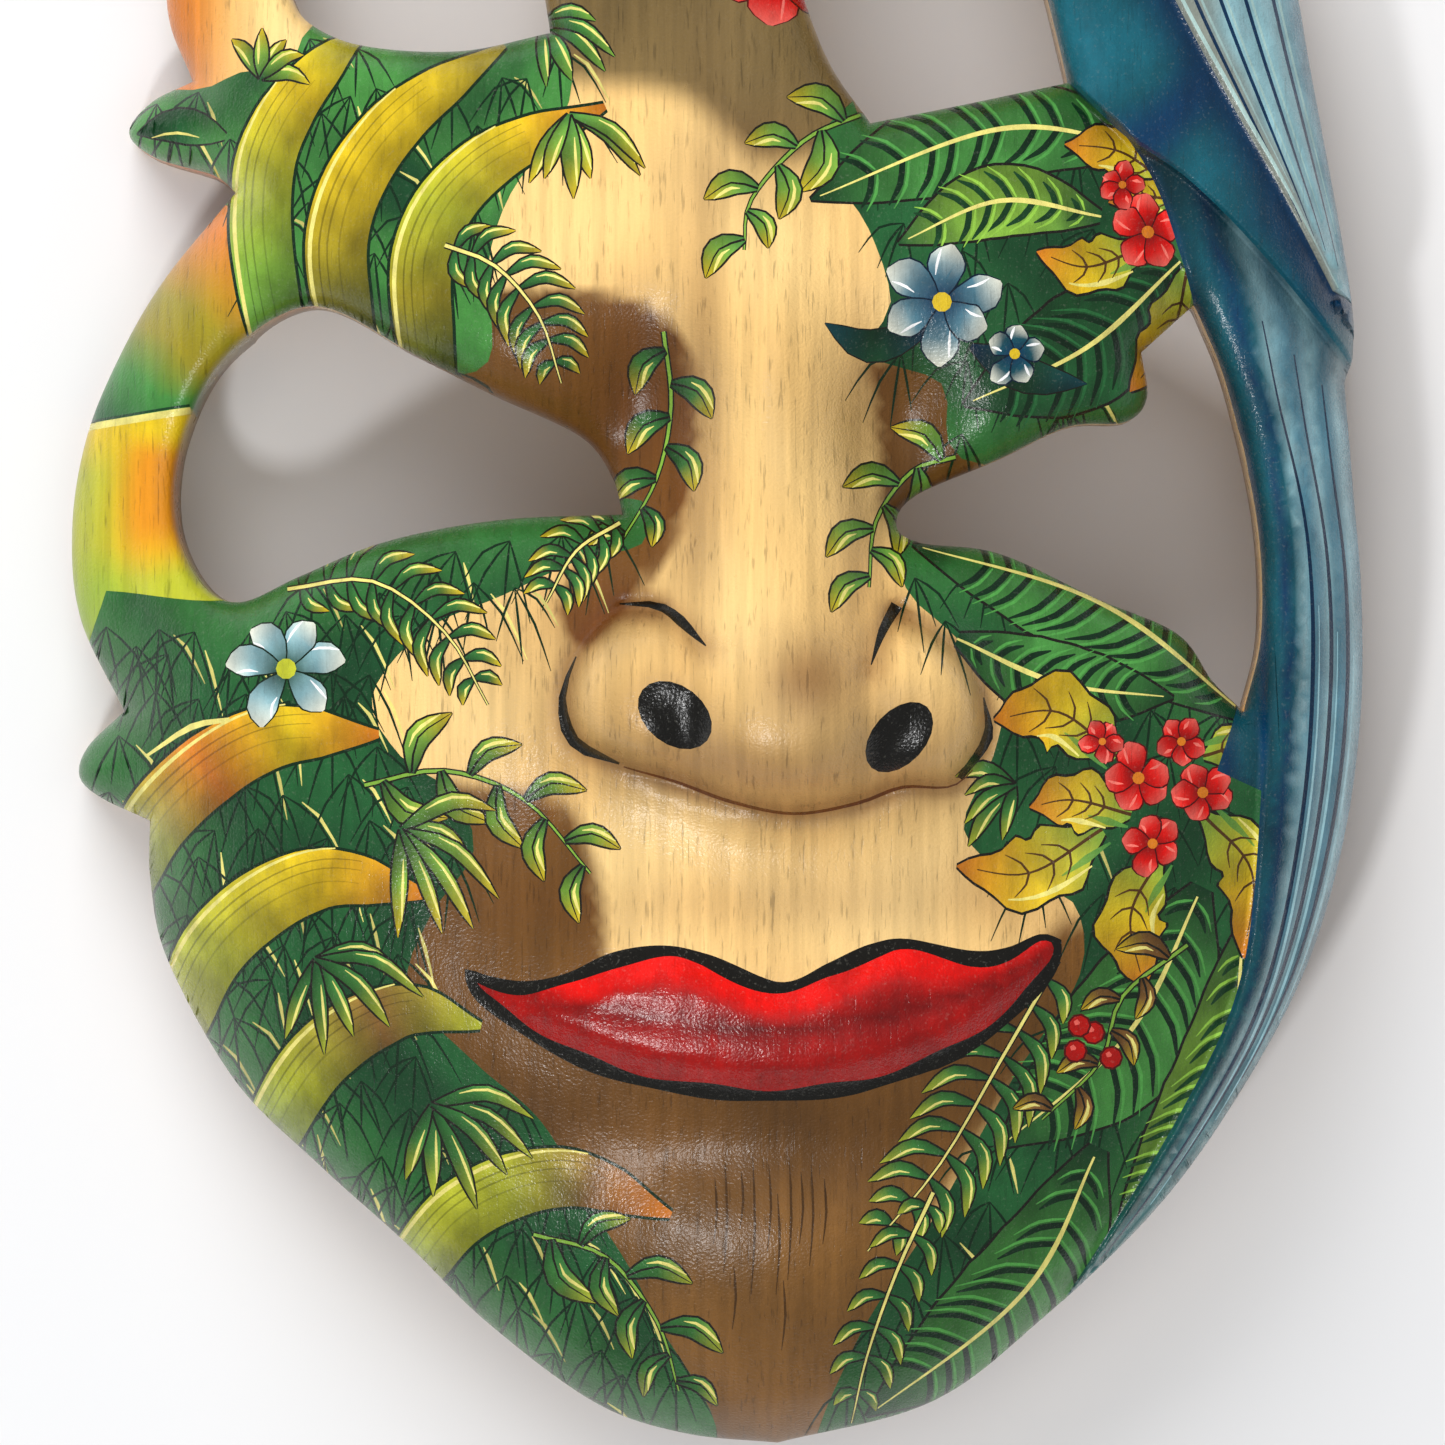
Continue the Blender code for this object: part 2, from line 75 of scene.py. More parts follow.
LEFT_GAP = [
    (-29.7, 195.7), (-30.7, 202), (-32.5, 213), (-31, 225), (-27, 236), (-30, 244), (-42, 243.5),
    (-55, 235.5), (-65, 223), (-68.3, 211), (-66, 201.7), (-62.6, 197.3), (-55, 194.3), (-42, 193.4),
    (-29.7, 195.7)]
RIGHT_GAP_SILL = [(14.4, 183), (27.3, 185.7), (41.6, 188.9)]
RIGHT_GAP = [
    (41.6, 188.9), (38.5, 202), (35.5, 213), (32, 224), (27.5, 235), (20, 242.5), (11, 243), (4, 235.5),
    (1, 223), (2.6, 210), (5.3, 200), (9, 190.8), (14.4, 183)]
EDGE_SPACING = 0.95


def smooth_line(points, spacing):
    """Points about one spacing apart on a smooth curve through the given ones, both ends included."""
    knots = np.array(points, float)
    ends = np.vstack([2 * knots[0] - knots[1], knots, 2 * knots[-1] - knots[-2]])
    line = []
    for before, start, stop, after in zip(ends, ends[1:], ends[2:], ends[3:]):
        count = max(1, round(float(np.linalg.norm(stop - start)) / spacing))
        t = np.linspace(0, 1, count, endpoint=False)[:, None]
        line.append(0.5 * (2 * start + (stop - before) * t
                           + (2 * before - 5 * start + 4 * stop - after) * t ** 2
                           + (3 * start - 3 * stop + after - before) * t ** 3))
    return np.vstack(line + [knots[-1:]])


def closed_outline(stretches, spacing=EDGE_SPACING):
    return np.vstack([smooth_line(stretch, spacing)[:-1] for stretch in stretches])


def lengths_along(line):
    """How far along the line each of its points is."""
    return np.concatenate([[0], np.cumsum(np.linalg.norm(np.diff(line, axis=0), axis=1))])


def search_tree(points):
    tree = KDTree(len(points))
    for number, (x, y) in enumerate(points):
        tree.insert((x, y, 0), number)
    tree.balance()
    return tree


def nearest_on(points, line):
    """Each point's distance to the line, its side (1 is left), and its share of the way along, 0 to 1."""
    tree = search_tree(line)
    near = np.array([tree.find((x, y, 0))[1] for x, y in points], int)
    lengths = lengths_along(line)
    best = [np.full(len(points), np.inf), np.zeros(len(points)), np.zeros(len(points))]
    for number in (np.maximum(near - 1, 0), np.minimum(near, len(line) - 2)):
        start, along = line[number], line[number + 1] - line[number]
        off = points - start
        t = np.clip((off * along).sum(1) / np.maximum((along ** 2).sum(1), 1e-12), 0, 1)
        gap = off - t[:, None] * along
        far = np.hypot(gap[:, 0], gap[:, 1])
        side = np.where(along[:, 0] * off[:, 1] - along[:, 1] * off[:, 0] > 0, 1, -1)
        share = (lengths[number] + t * (lengths[number + 1] - lengths[number])) / lengths[-1]
        closer = far < best[0] - 1e-9
        best = [np.where(closer, new, old) for new, old in zip((far, side, share), best)]
    return best


def inside(points, loop):
    """True for each point inside the loop, by counting crossings."""
    x, y = points[:, 0], points[:, 1]
    result = np.zeros(len(points), bool)
    for (x0, y0), (x1, y1) in zip(loop, np.roll(loop, -1, axis=0)):
        if y0 == y1:
            continue
        crosses = (y0 > y) != (y1 > y)
        result ^= crosses & (x < (x1 - x0) * (y - y0) / (y1 - y0) + x0)
    return result


def loop_distance(points, loop):
    return nearest_on(points, np.vstack([loop, loop[:1]]))[0]


loops = [closed_outline(stretches) for stretches in (
    (RIGHT_EDGE, WING_EDGE, CROWN_EDGE, HORN_EDGE, CANE_EDGE, KNOB_EDGE, LEFT_EDGE),
    (LEFT_EYE,), (RIGHT_EYE, RIGHT_EYE_TAIL_SIDE, RIGHT_EYE_NOTCH),
    (LEFT_GAP,), (RIGHT_GAP_SILL, RIGHT_GAP))]
middle = (loops[0].min(0) + loops[0].max(0)) / 2


def within(points, margin=0.0):
    """True for each point on the wood, and no nearer to an edge than the margin."""
    keep = inside(points, loops[0])
    for gap in loops[1:]:
        keep &= ~inside(points, gap)
    if margin > 0:
        for loop in loops:
            keep &= loop_distance(points, loop) > margin
    return keep


def edge_distance(points):
    return np.min([loop_distance(points, loop) for loop in loops], axis=0)


# The carving, in the same block. The face swells over an oval, and its features are raised or sunk on it
# with gouges. A bird lies over the right side in three levels, which are tail, flank and folded wing.

EDGE_HEIGHT = 0.009
FACE_RISE = 0.043
WALL = 0.015
RIM_WIDTH = 0.013
ROUND_OVER = 0.0070
OVAL_CENTRE = np.array((0, 110))
OVAL_HALF_WIDTH = 88
OVAL_DOWN = 112
OVAL_UP = 168
OVAL_SOFTNESS = 0.02

# Brows, sockets, cheeks with the hollows under them, trunk, upright, muzzle and chin: centre, spread, rise
SOFT_FORMS = [
    ((-31, 158), (20, 10), 0.0055), ((30, 161), (19, 11), 0.00495),
    ((-17, 142), (7, 10), -0.0075), ((18.5, 140), (6, 8), -0.0065),
    ((-50, 87), (24, 20), 0.0050), ((46, 90), (19, 19), 0.0045),
    ((-34, 84), (8, 10), -0.0035), ((36, 84), (7, 9), -0.0025),
    ((-6, 200), (11, 26), 0.0035), ((-11, 247), (12, 24), 0.0035),
    ((-1, 61), (33, 15), 0.0055), ((2, 42), (24, 6), -0.0030), ((2, 25), (21, 15), 0.0060)]
BRIDGE = np.array(((-1, 178), (2.5, 108)))
BRIDGE_RISE = 0.0095
NOSE_SWELL = ((2.4, 106), (28, 20), 0.006)
NOSE_BUMPS = [
    ((-16, 104.5), (12, 11.5), 0.0105), ((20.6, 103), (11, 12), 0.0105), ((2.5, 102.5), (15, 14.5), 0.0145)]
NOSE_BLEND = 0.004
NOSTRILS = [((-12.4, 101.6), (4.9, 3.3), -38), ((18, 98.6), (4.9, 3.0), 48)]
NOSTRIL_DEPTH = 0.0014
UPPER_LIP_EDGE = [
    (-40.9, 66.4), (-38, 65.2), (-33, 64.6), (-26.9, 66), (-20.8, 68.5), (-14, 69.7), (-8.5, 68.6),
    (1.5, 64.7), (8.6, 67.2), (14.7, 69.8), (19.5, 70.6), (28.1, 68.7), (33, 69.2), (37.5, 71.2), (40, 70.6)]
LOWER_LIP_EDGE = [
    (40, 70.6), (39.5, 67.6), (36.4, 63.2), (30, 57.5), (23.8, 54.2), (15.9, 51.3), (9.8, 50), (0.6, 49.3),
    (-8.5, 49.9), (-19, 51.8), (-26.9, 54.8), (-33, 58.2), (-39.0, 62.9), (-40.9, 66.4)]
LIP_RISE = 0.0024
PARTING_DEPTH = 0.0004
BIRD_LINE = [
    (66, 249), (52, 257), (40, 256), (32, 248), (30, 236), (32, 224), (35.5, 213), (38.5, 202), (41.6, 189),
    (49.4, 181.3), (54, 173.7), (57.3, 164), (59.5, 157), (66.5, 137), (68.6, 113), (68.2, 90), (65.5, 65),
    (57, 46), (42, 21)]
FLANK_LINE = [(36, 196), (41.6, 188.9), (49.3, 181.3), (58.4, 175.1), (69.9, 163.8), (83, 148.5)]
WING_LINE = [(52, 226), (52.5, 212), (55.7, 201.7), (64.5, 185.5), (71, 174.4), (78.6, 160.4)]
TAIL_START = 9
TAIL_RISE = 0.0014
FLANK_RISE = 0.0030
WING_RISE = 0.0018
TAIL_FEATHERS = 3
WING_FEATHERS = 4
TAIL_FLUTE = 0.0007
WING_FLUTE = 0.0005
TAIL_SWELL = 0.0008
BIRD_HEAD = ((44, 238), (13, 12), 0.005)
CANE_RING_RISE = 0.0005
FOLD_WIDTH = 1.5

bird_line = smooth_line(BIRD_LINE, 1.3)
tail_line = smooth_line(BIRD_LINE[TAIL_START:], 2)
flank_line = smooth_line(FLANK_LINE, 1.3)
wing_line = smooth_line(WING_LINE, 1.3)
outer_line = np.vstack([smooth_line(RIGHT_EDGE, 2), smooth_line(WING_EDGE, 2)])
mouth_loop = closed_outline([UPPER_LIP_EDGE, LOWER_LIP_EDGE])
parting_line = smooth_line([(-40.9, 66.4), (-20, 61), (2, 59), (22, 62), (40, 70.6)], 2)
nose_fold = smooth_line([
    (-15, 116), (-21, 115.4), (-25.6, 110.4), (-27.6, 104), (-26, 98), (-20.6, 95), (-12.5, 92.6),
    (-4.7, 89.8), (3.8, 88.2), (12.4, 89.6), (18.6, 91.8), (26, 92.2), (30.2, 98.4), (28.6, 107),
    (23.4, 112.6), (18, 115.6)], 1.5)

# The creases round the nose: line, depth, then the reach and strength of the painted shade that darkens them
CREASES = [(nose_fold, 0.0018, 1.9, 0.6),
           (smooth_line([(-19, 116.2), (-13.6, 115.6), (-8.2, 110.6)], 2), 0.0011, 1.8, 0.45),
           (smooth_line([(18, 115.6), (15.6, 112.4), (14.2, 107.6)], 2), 0.0011, 1.8, 0.45)]


def ease(t):
    t = np.clip(t, 0, 1)
    return t * t * (3 - 2 * t)


def over(points, line, width=1.8):
    """From 0 on the line's right-hand side to 1 on its left."""
    gap, side, _ = nearest_on(points, line)
    return ease(0.5 + side * gap / width)


def share_across(points, inner):
    """0 on the inner line, 1 on the mask's right edge."""
    near = nearest_on(points, inner)[0]
    return near / np.maximum(near + nearest_on(points, outer_line)[0], 1e-9)


def blend_up(a, b, softness):
    """The higher of two heights, with a soft turn where they cross."""
    share = np.maximum(softness - np.abs(a - b), 0) / softness
    return np.maximum(a, b) + share * share * softness / 4


def spread_from(points, centre, spread):
    """The squared distance from a centre, counted in spreads."""
    return (((points - np.array(centre)) / spread) ** 2).sum(1)


def mound(points, centre, spread, rise):
    return rise * np.exp(-spread_from(points, centre, spread) ** 1.6)


def oval_radius(points, inset=0.0):
    """1 on the oval, less inside it and more outside."""
    off = points - OVAL_CENTRE
    tall = np.where(off[:, 1] < 0, OVAL_DOWN, OVAL_UP) - inset
    return np.hypot(off[:, 0] / (OVAL_HALF_WIDTH - inset), off[:, 1] / tall)


def face_height(points):
    room = 1 - oval_radius(points) ** 2
    room = 0.5 * (room + np.sqrt(room ** 2 + OVAL_SOFTNESS))
    height = EDGE_HEIGHT + FACE_RISE * np.sqrt(room)
    for centre, spread, rise in SOFT_FORMS:
        height += rise * np.exp(-0.5 * spread_from(points, centre, spread))
    return height


def nose_height(points, skin):
    top, bottom = BRIDGE
    along = bottom - top
    share = np.clip((points - top) @ along / (along @ along), 0, 1)
    off = points - top - share[:, None] * along
    base = skin + mound(points, *NOSE_SWELL)
    ridge = np.exp(-0.9 * (off ** 2).sum(1) / (10 + 2 * share) ** 2)
    height = base + BRIDGE_RISE * ease(share * 2.2) * ridge
    for bump in NOSE_BUMPS:
        height = blend_up(height, base + mound(points, *bump), NOSE_BLEND)
    for line, depth, _, _ in CREASES:
        height -= depth * np.exp(-(nearest_on(points, line)[0] / FOLD_WIDTH) ** 2)
    for centre, spread, degrees in NOSTRILS:
        u, v = turned(points - np.array(centre), degrees)
        height -= NOSTRIL_DEPTH * np.exp(-(u / spread[0]) ** 2 - (v / spread[1]) ** 2)
    return height


def turned(points, degrees):
    angle = math.radians(degrees)
    x, y = points[:, 0], points[:, 1]
    return x * math.cos(angle) + y * math.sin(angle), y * math.cos(angle) - x * math.sin(angle)


def lips_height(points):
    """Two soft rolls of lip that meet in a shallow line."""
    depth = np.where(inside(points, mouth_loop), loop_distance(points, mouth_loop), 0)
    parting = np.exp(-(nearest_on(points, parting_line)[0] / 2) ** 2)
    return LIP_RISE * ease(depth / 5) - PARTING_DEPTH * ease(depth / 3) * parting


def flutes(share, feathers, power=2):
    """1 between two feathers and 0 along the middle of each."""
    return np.abs(np.cos(math.pi * feathers * share)) ** power


def bird_height(points):
    on_bird, on_flank = over(points, bird_line), over(points, flank_line)
    on_wing = over(points, wing_line) * (points[:, 1] < WING_LINE[0][1])
    on_tail = on_bird * (1 - on_flank)
    height = on_bird * (TAIL_RISE + on_flank * (FLANK_RISE + on_wing * WING_RISE))
    across = share_across(points, tail_line)
    height += TAIL_SWELL * on_tail * np.sin(math.pi * np.clip(across / 0.45, 0, 1))
    height -= TAIL_FLUTE * on_tail * flutes(across, TAIL_FEATHERS) * ease((across - 0.36) / 0.1)
    height -= WING_FLUTE * on_flank * on_wing * flutes(share_across(points, wing_line), WING_FEATHERS)
    centre, spread, rise = BIRD_HEAD
    return height + rise * np.exp(-1.2 * spread_from(points, centre, spread) ** 1.5)


def gouge_marks(points):
    """The slight unevenness that hand sanding leaves."""
    x, y = points[:, 0], points[:, 1]
    waves = np.sin(0.31 * x + 1.3 * np.sin(0.11 * y)) * np.sin(0.27 * y + 0.9 * np.sin(0.17 * x))
    return 0.00010 * waves + 0.00005 * np.sin(0.83 * x + 0.41 * y) * np.sin(0.67 * y - 0.35 * x)


def above_cane_ring(points):
    """How far a point is above the ring that is cut round the cane."""
    return points[:, 1] - 143.5 - 0.12 * (points[:, 0] + 85)


def front_height(points, edge_gap):
    skin = nose_height(points, face_height(points)) + lips_height(points) + bird_height(points)
    short = np.clip(1 - edge_gap * STEP / ROUND_OVER, 0, 1)
    ring = np.exp(-(above_cane_ring(points) / 1.1) ** 2) * (points[:, 0] < -80)
    round_over = ROUND_OVER * (1 - np.sqrt(1 - short ** 2))
    return skin + (gouge_marks(points) + CANE_RING_RISE * ring) * (1 - short) - round_over


# The ground coats. Thin washes of paint on the sanded wood, which is left bare down the middle of the face.
# Umber is in the sockets and on the chin, brown on the trunk, and orange to green round the loop of cane.


def pigment(red, green, blue):
    """A colour as it is mixed for the eye, 0 to 255, turned into light."""
    share = np.array((red, green, blue)) / 255
    return np.where(share < 0.04045, share / 12.92, ((share + 0.055) / 1.055) ** 2.4)


BARE = pigment(246, 208, 138)
BARE_WARM = pigment(234, 184, 108)
UMBER = pigment(104, 68, 26)
UMBER_DEEP = pigment(112, 62, 24)
UMBER_LIGHT = pigment(146, 104, 52)
TRUNK = pigment(120, 98, 58)
GREEN_DARK = pigment(22, 66, 36)
GREEN_DEEP = pigment(34, 92, 48)
GREEN_MID = pigment(70, 138, 62)
GREEN_LIGHT = pigment(130, 176, 62)
LIME = pigment(186, 190, 48)
OLIVE = pigment(156, 142, 34)
YELLOW = pigment(226, 192, 30)
ORANGE = pigment(218, 124, 28)
CREAM = pigment(240, 228, 128)
INK = pigment(26, 24, 18)
BLUE_DEEP = pigment(8, 54, 90)
BLUE_TEAL = pigment(20, 86, 100)
BLUE_MID = pigment(84, 132, 150)
BLUE_PALE = pigment(146, 190, 198)
RED_DEEP = pigment(152, 10, 6)
RED = pigment(180, 14, 6)
RED_BRIGHT = pigment(236, 14, 6)
PINK = pigment(240, 104, 92)
WHITE = pigment(232, 232, 214)
FRESH = (GREEN_DEEP, GREEN_LIGHT, YELLOW)
MOSSY = (GREEN_DEEP, GREEN_MID, LIME)
TIPPED = (GREEN_DEEP, GREEN_MID, YELLOW)
SUNLIT = (GREEN_MID, GREEN_LIGHT, YELLOW)


def at_share(share, values):
    """The value at a share of the way through a row of values."""
    return np.interp(share, np.linspace(0, 1, len(values)), values)


def ramp(share, colours):
    """The colour at a share of the way through a row of colours."""
    return np.stack([at_share(share, shades) for shades in np.transpose(colours)], 1)


def mixed(colour, coat, share):
    return colour * (1 - share[:, None]) + coat * share[:, None]


def wash(points, colour, coat, outline, feather):
    """The colours with a thin coat laid over a part of them, which fades out over its edge."""
    loop = closed_outline([outline + outline[:1]], 3)
    gap = loop_distance(points, loop) * np.where(inside(points, loop), 1, -1)
    return mixed(colour, coat, ease(0.5 + gap / feather))


GREEN_LEFT_BROW = [
    (-94, 192), (-80, 189), (-73, 191), (-66, 192), (-60, 199), (-33, 199), (-27, 191), (-28, 183),
    (-35, 173), (-38, 163), (-38, 150), (-48, 149), (-63, 156), (-74, 172), (-92, 178)]
GREEN_LEFT_CHEEK = [
    (-92, 119), (-72, 118), (-52, 128), (-36, 131), (-17, 131), (-17, 125), (-25, 123), (-36, 118),
    (-47, 113), (-54, 104), (-50, 96), (-43, 91), (-40, 83), (-46, 74), (-49, 64), (-40, 54), (-31, 46),
    (-24, 34), (-16, 20), (-9, -3), (-60, -4), (-100, 60), (-100, 95)]
GREEN_RIGHT_BROW = [
    (12, 186), (16, 184), (44, 192), (52, 181), (60, 165), (60, 156), (52, 150), (54, 140), (41, 140),
    (30, 136), (25, 139), (24, 147), (14, 151), (17, 158), (14, 168), (10, 174), (7, 180)]
GREEN_RIGHT_CHEEK = [
    (17, 130), (22, 126), (34, 124), (48, 118), (60, 112), (70, 98), (71, 86), (68, 64), (60, 45), (44, 20),
    (30, -4), (8, -4), (12, 14), (24, 34), (34, 52), (43, 66), (42, 76), (34, 79), (27, 86), (31, 96),
    (32, 105), (25, 113), (19, 119)]
GREEN_CROWN = [
    (-98, 210), (-70, 206), (-66, 224), (-54, 238), (-36, 246), (-22, 242), (-6, 234), (2, 240), (14, 246),
    (26, 242), (34, 256), (60, 262), (60, 290), (-70, 290), (-98, 240)]
TRUNK_COAT = [
    (-36, 262), (-33, 226), (-34, 206), (-30, 190), (-22, 188), (-11, 186), (-2, 178), (7, 178), (15, 184),
    (9, 193), (4, 206), (2, 226), (6, 262)]
UMBER_WASHES = [
    ([(-46, 158), (-34, 160), (-24, 159.5), (-16, 157.5), (-11.8, 153.6), (-9.8, 148), (-9.4, 140),
      (-10.4, 132), (-13.4, 123.5), (-18, 117.5), (-25, 110.5), (-28, 116), (-25, 124), (-20, 130),
      (-28, 140), (-50, 148)], 1.6),
    ([(14, 150), (22, 150), (30, 142), (28, 132), (17, 128), (15.4, 136)], 2.5),
    ([(-56, 94), (-40, 92), (-28, 90), (-23, 80), (-22, 66), (-28, 58), (-46, 58), (-58, 76)], 3),
    ([(-58, 68), (-46, 70), (-30, 62), (-8, 56), (8, 56), (28, 62), (42, 74), (46, 66), (34, 50), (24, 34),
      (16, 14), (8, -4), (-12, -4), (-22, 16), (-34, 40)], 4)]

# A brown stain on the nose's tip, and umber spots of painted shade in the hollows, round the nostrils, under
# the nose and above the lips: centre, spread, strength
TIP_STAIN_AND_PAINTED_SHADE = [
    ((5.5, 106.5), (5.4, 5), 0.75), ((-17, 145), (6, 11), 0.45), ((2, 93), (15, 4.2), 0.5),
    ((-8, 95.5), (6, 3.4), 0.4), ((-13, 101.6), (7, 5.6), 0.4), ((18.4, 98.6), (7, 5.6), 0.4),
    ((-8.6, 152), (2.6, 18), 0.45), ((-24, 116), (6, 4), 0.5), ((12.6, 146), (2.2, 12), 0.4),
    ((2, 76), (26, 3), 0.25), ((-10.5, 124), (3, 9), 0.4), ((13.4, 122), (3, 9), 0.35),
    ((-3, 176), (9, 5), 0.3), ((-30, 100), (5, 7), 0.3), ((-34, 110), (9, 5), 0.2), ((32, 80), (7, 5), 0.35)]
CANE_MIDDLE = smooth_line([
    (-66, 182), (-78, 168), (-86, 154), (-90, 140), (-90.5, 125), (-85, 108), (-80, 96)], 2)
ABOVE_RING = [ORANGE] * 4 + [(ORANGE + OLIVE) / 2, OLIVE, OLIVE, GREEN_MID, GREEN_DEEP]
BELOW_RING = [YELLOW] * 4 + [LIME, LIME, GREEN_LIGHT, ORANGE, GREEN_DEEP]


def cloud(points, size, seed=0.0):
    """Soft unevenness from 0 to 1, as thin paint dries."""
    x, y = points[:, 0] / size + seed, points[:, 1] / size - seed
    return 0.5 + 0.25 * (np.sin(x + 1.7 * np.sin(0.6 * y + seed)) + np.sin(1.3 * y + 1.9 * np.sin(0.8 * x)))


def cane_colours(points):
    """Orange to green down to the ring of the cane, then yellow with an orange inner side."""
    gap, side, share = nearest_on(points, CANE_MIDDLE)
    worn = share + 0.03 * cloud(points, 4)
    colour = np.where((above_cane_ring(points) > 0)[:, None],
                      ramp(worn / 0.5, ABOVE_RING), ramp((worn - 0.5) / 0.5, BELOW_RING))
    outer = ease(0.5 - side * gap / 9) * ease((share - 0.5) * 12)
    inner = ease(0.3 + side * gap / 6) * ease((share - 0.49) * 20) * ease((0.76 - share) * 8)
    return mixed(mixed(colour, GREEN_LIGHT, 0.55 * outer), ORANGE, 0.8 * inner)


def ground_coat(points):
    """The thin coats under the brushwork, with painted shade in the creases and hollows round the nose, at
    each point.
    """
    x, y = points[:, 0], points[:, 1]
    mottle = cloud(points, 6)
    colour = BARE + (BARE_WARM - BARE) * (0.6 * mottle)[:, None]
    upright = ramp(ease((-x - 66) / 16), [BARE, BARE_WARM, ORANGE])
    colour = np.where(((x < -50) & (y > 186))[:, None], upright, colour)
    colour = wash(points, colour, TRUNK * (0.75 + 0.5 * mottle)[:, None], TRUNK_COAT, 5)
    bark = np.exp(-((y - 30) / 22) ** 2) * (0.5 + 0.5 * np.sin(2.1 * x + 0.6 * np.sin(0.2 * y)))
    umber = mixed(UMBER, UMBER_LIGHT, 0.35 * ease((48 - y) / 20))
    umber = umber * (0.8 + 0.5 * mottle - 0.15 * bark)[:, None]
    for outline, feather in UMBER_WASHES:
        colour = wash(points, colour, umber, outline, feather)
    # The brown tip of the nose, and painted shade in the hollows, round the nostrils and under the nose
    for centre, spread, strength in TIP_STAIN_AND_PAINTED_SHADE:
        colour = mixed(colour, UMBER_DEEP, strength * np.exp(-0.5 * spread_from(points, centre, spread)))
    # Painted shade along the creases round the nose
    for line, _, reach, strength in CREASES:
        colour = mixed(colour, UMBER_DEEP, strength * np.exp(-(nearest_on(points, line)[0] / reach) ** 2))
    near_cane = ((x < -62) & (y > 90) & (y < 184))[:, None]
    return np.where(near_cane, cane_colours(points), colour)


# The brushwork. Leaves, ferns and blossoms in opaque paint over the ground coats, each drawn with a dark
# line round it and a few light strokes on it, then the feathers, and the ink and red of nose and mouth.

brushwork = []
rng = np.random.default_rng(7)
LEAF_SHAPE = np.array((0.15, 0.62, 0.92, 1, 0.86, 0.5, 0))
STRAP_SHAPE = np.array((0.75, 0.95, 1, 1, 0.9, 0.66, 0.1))
PETAL_SHAPE = np.array((0.2, 0.75, 1, 0.95, 0.1))
THINNEST = 0.06


def unit(vectors):
    return vectors / np.maximum(np.linalg.norm(vectors, axis=-1, keepdims=True), 1e-9)


def across_line(line):
    """The direction square to the line, to its left, at each of its points."""
    along = unit(np.gradient(line, axis=0))
    return np.stack([-along[:, 1], along[:, 0]], 1)


def circle(count):
    turn = np.linspace(0, 2 * math.pi, count, endpoint=False)
    return np.stack([np.cos(turn), np.sin(turn)], 1)


def lay(outline, colour, shows=0.3):
    """Adds one area of paint on top of those before it. The colour is plain, or worked out at each point."""
    brushwork.append((outline, colour, shows))


def draw(line, widths, colour, shows=0.3, offset=0.0):
    """Lays a brush stroke along a line. The widths are spread evenly over its length."""
    half = np.maximum(at_share(np.linspace(0, 1, len(line)), widths), THINNEST)[:, None] / 2
    side = across_line(line)
    centre = line + side * offset
    lay(np.vstack([centre + side * half, (centre - side * half)[::-1]]), colour, shows)


def draw_edged(line, shape, width, edge, ink, colour):
    """Lays a stroke with a dark edge showing all round it."""
    draw(line, shape * width + edge, ink)
    draw(line, shape * width, colour)


def along_colours(line, colours, shade=0.0, half=1.0):
    """Colours that change along a line, and darken towards its right-hand side."""
    def at(points):
        gap, side, share = nearest_on(points, line)
        dark = 1 - shade * ease(0.5 - 0.5 * side * gap / half)
        return ramp(share, colours) * (dark * (0.8 + 0.4 * cloud(points, 1.6, line[0, 0])))[:, None]
    return at


def part_of(line, start, stop):
    low, high = round(start * (len(line) - 1)), round(stop * (len(line) - 1))
    return line[low:high + 1]


def drawn(path, pieces=7, least=0.9):
    """A smooth line through a few spots, in about as many pieces as asked."""
    return smooth_line(path, max(lengths_along(path)[-1] / pieces, least))


def drooping(start, degrees, length, droop, lift):
    """A path that sets out at an angle, and hangs the more the flatter it lies."""
    turn = math.radians(degrees)
    out = np.array((math.cos(turn), math.sin(turn))) * length
    fall = np.array((0, -droop * length * abs(math.cos(turn))))
    return [start, start + out * 0.55 - fall * lift, start + out + fall]


def sideways(line, at, hand, reach, bend, tip, before=0, after=1):
    """A path that leaves a line at one side. Bend and tip are so far out and so far on, in reaches."""
    out = across_line(line)[at] * hand
    on = unit(line[min(at + after, len(line) - 1)] - line[max(at - before, 0)])
    return [line[at]] + [line[at] + (out * share[0] + on * share[1]) * reach for share in (bend, tip)]


def blade(path, width, colours, edge=0.32, light=0.4):
    """One small leaf: a dark line round it, its body, and a light stroke along one side."""
    line = drawn(path)
    draw(line, [*(LEAF_SHAPE[:-1] * width + 2 * edge), edge], INK)
    draw(line, LEAF_SHAPE * width, along_colours(line, colours, 0.5, width / 2))
    if light:
        draw(part_of(line, 0.25, 0.86), (0.1, light, light, 0.1), CREAM, 0.1, width * 0.22)


def spray(spot, angle, reach, count, fan, width, colours=FRESH):
    """A few blades that fan out from one spot and droop."""
    for share in rng.permutation(np.linspace(-0.5, 0.5, count)):
        path = drooping(np.array(spot, float), angle + share * fan + rng.uniform(-8, 8),
                        reach * rng.uniform(0.7, 1.1), 0.2, 0.4)
        blade(path, width * rng.uniform(0.8, 1.2), [c * rng.uniform(0.8, 1.15) for c in colours], 0.3)


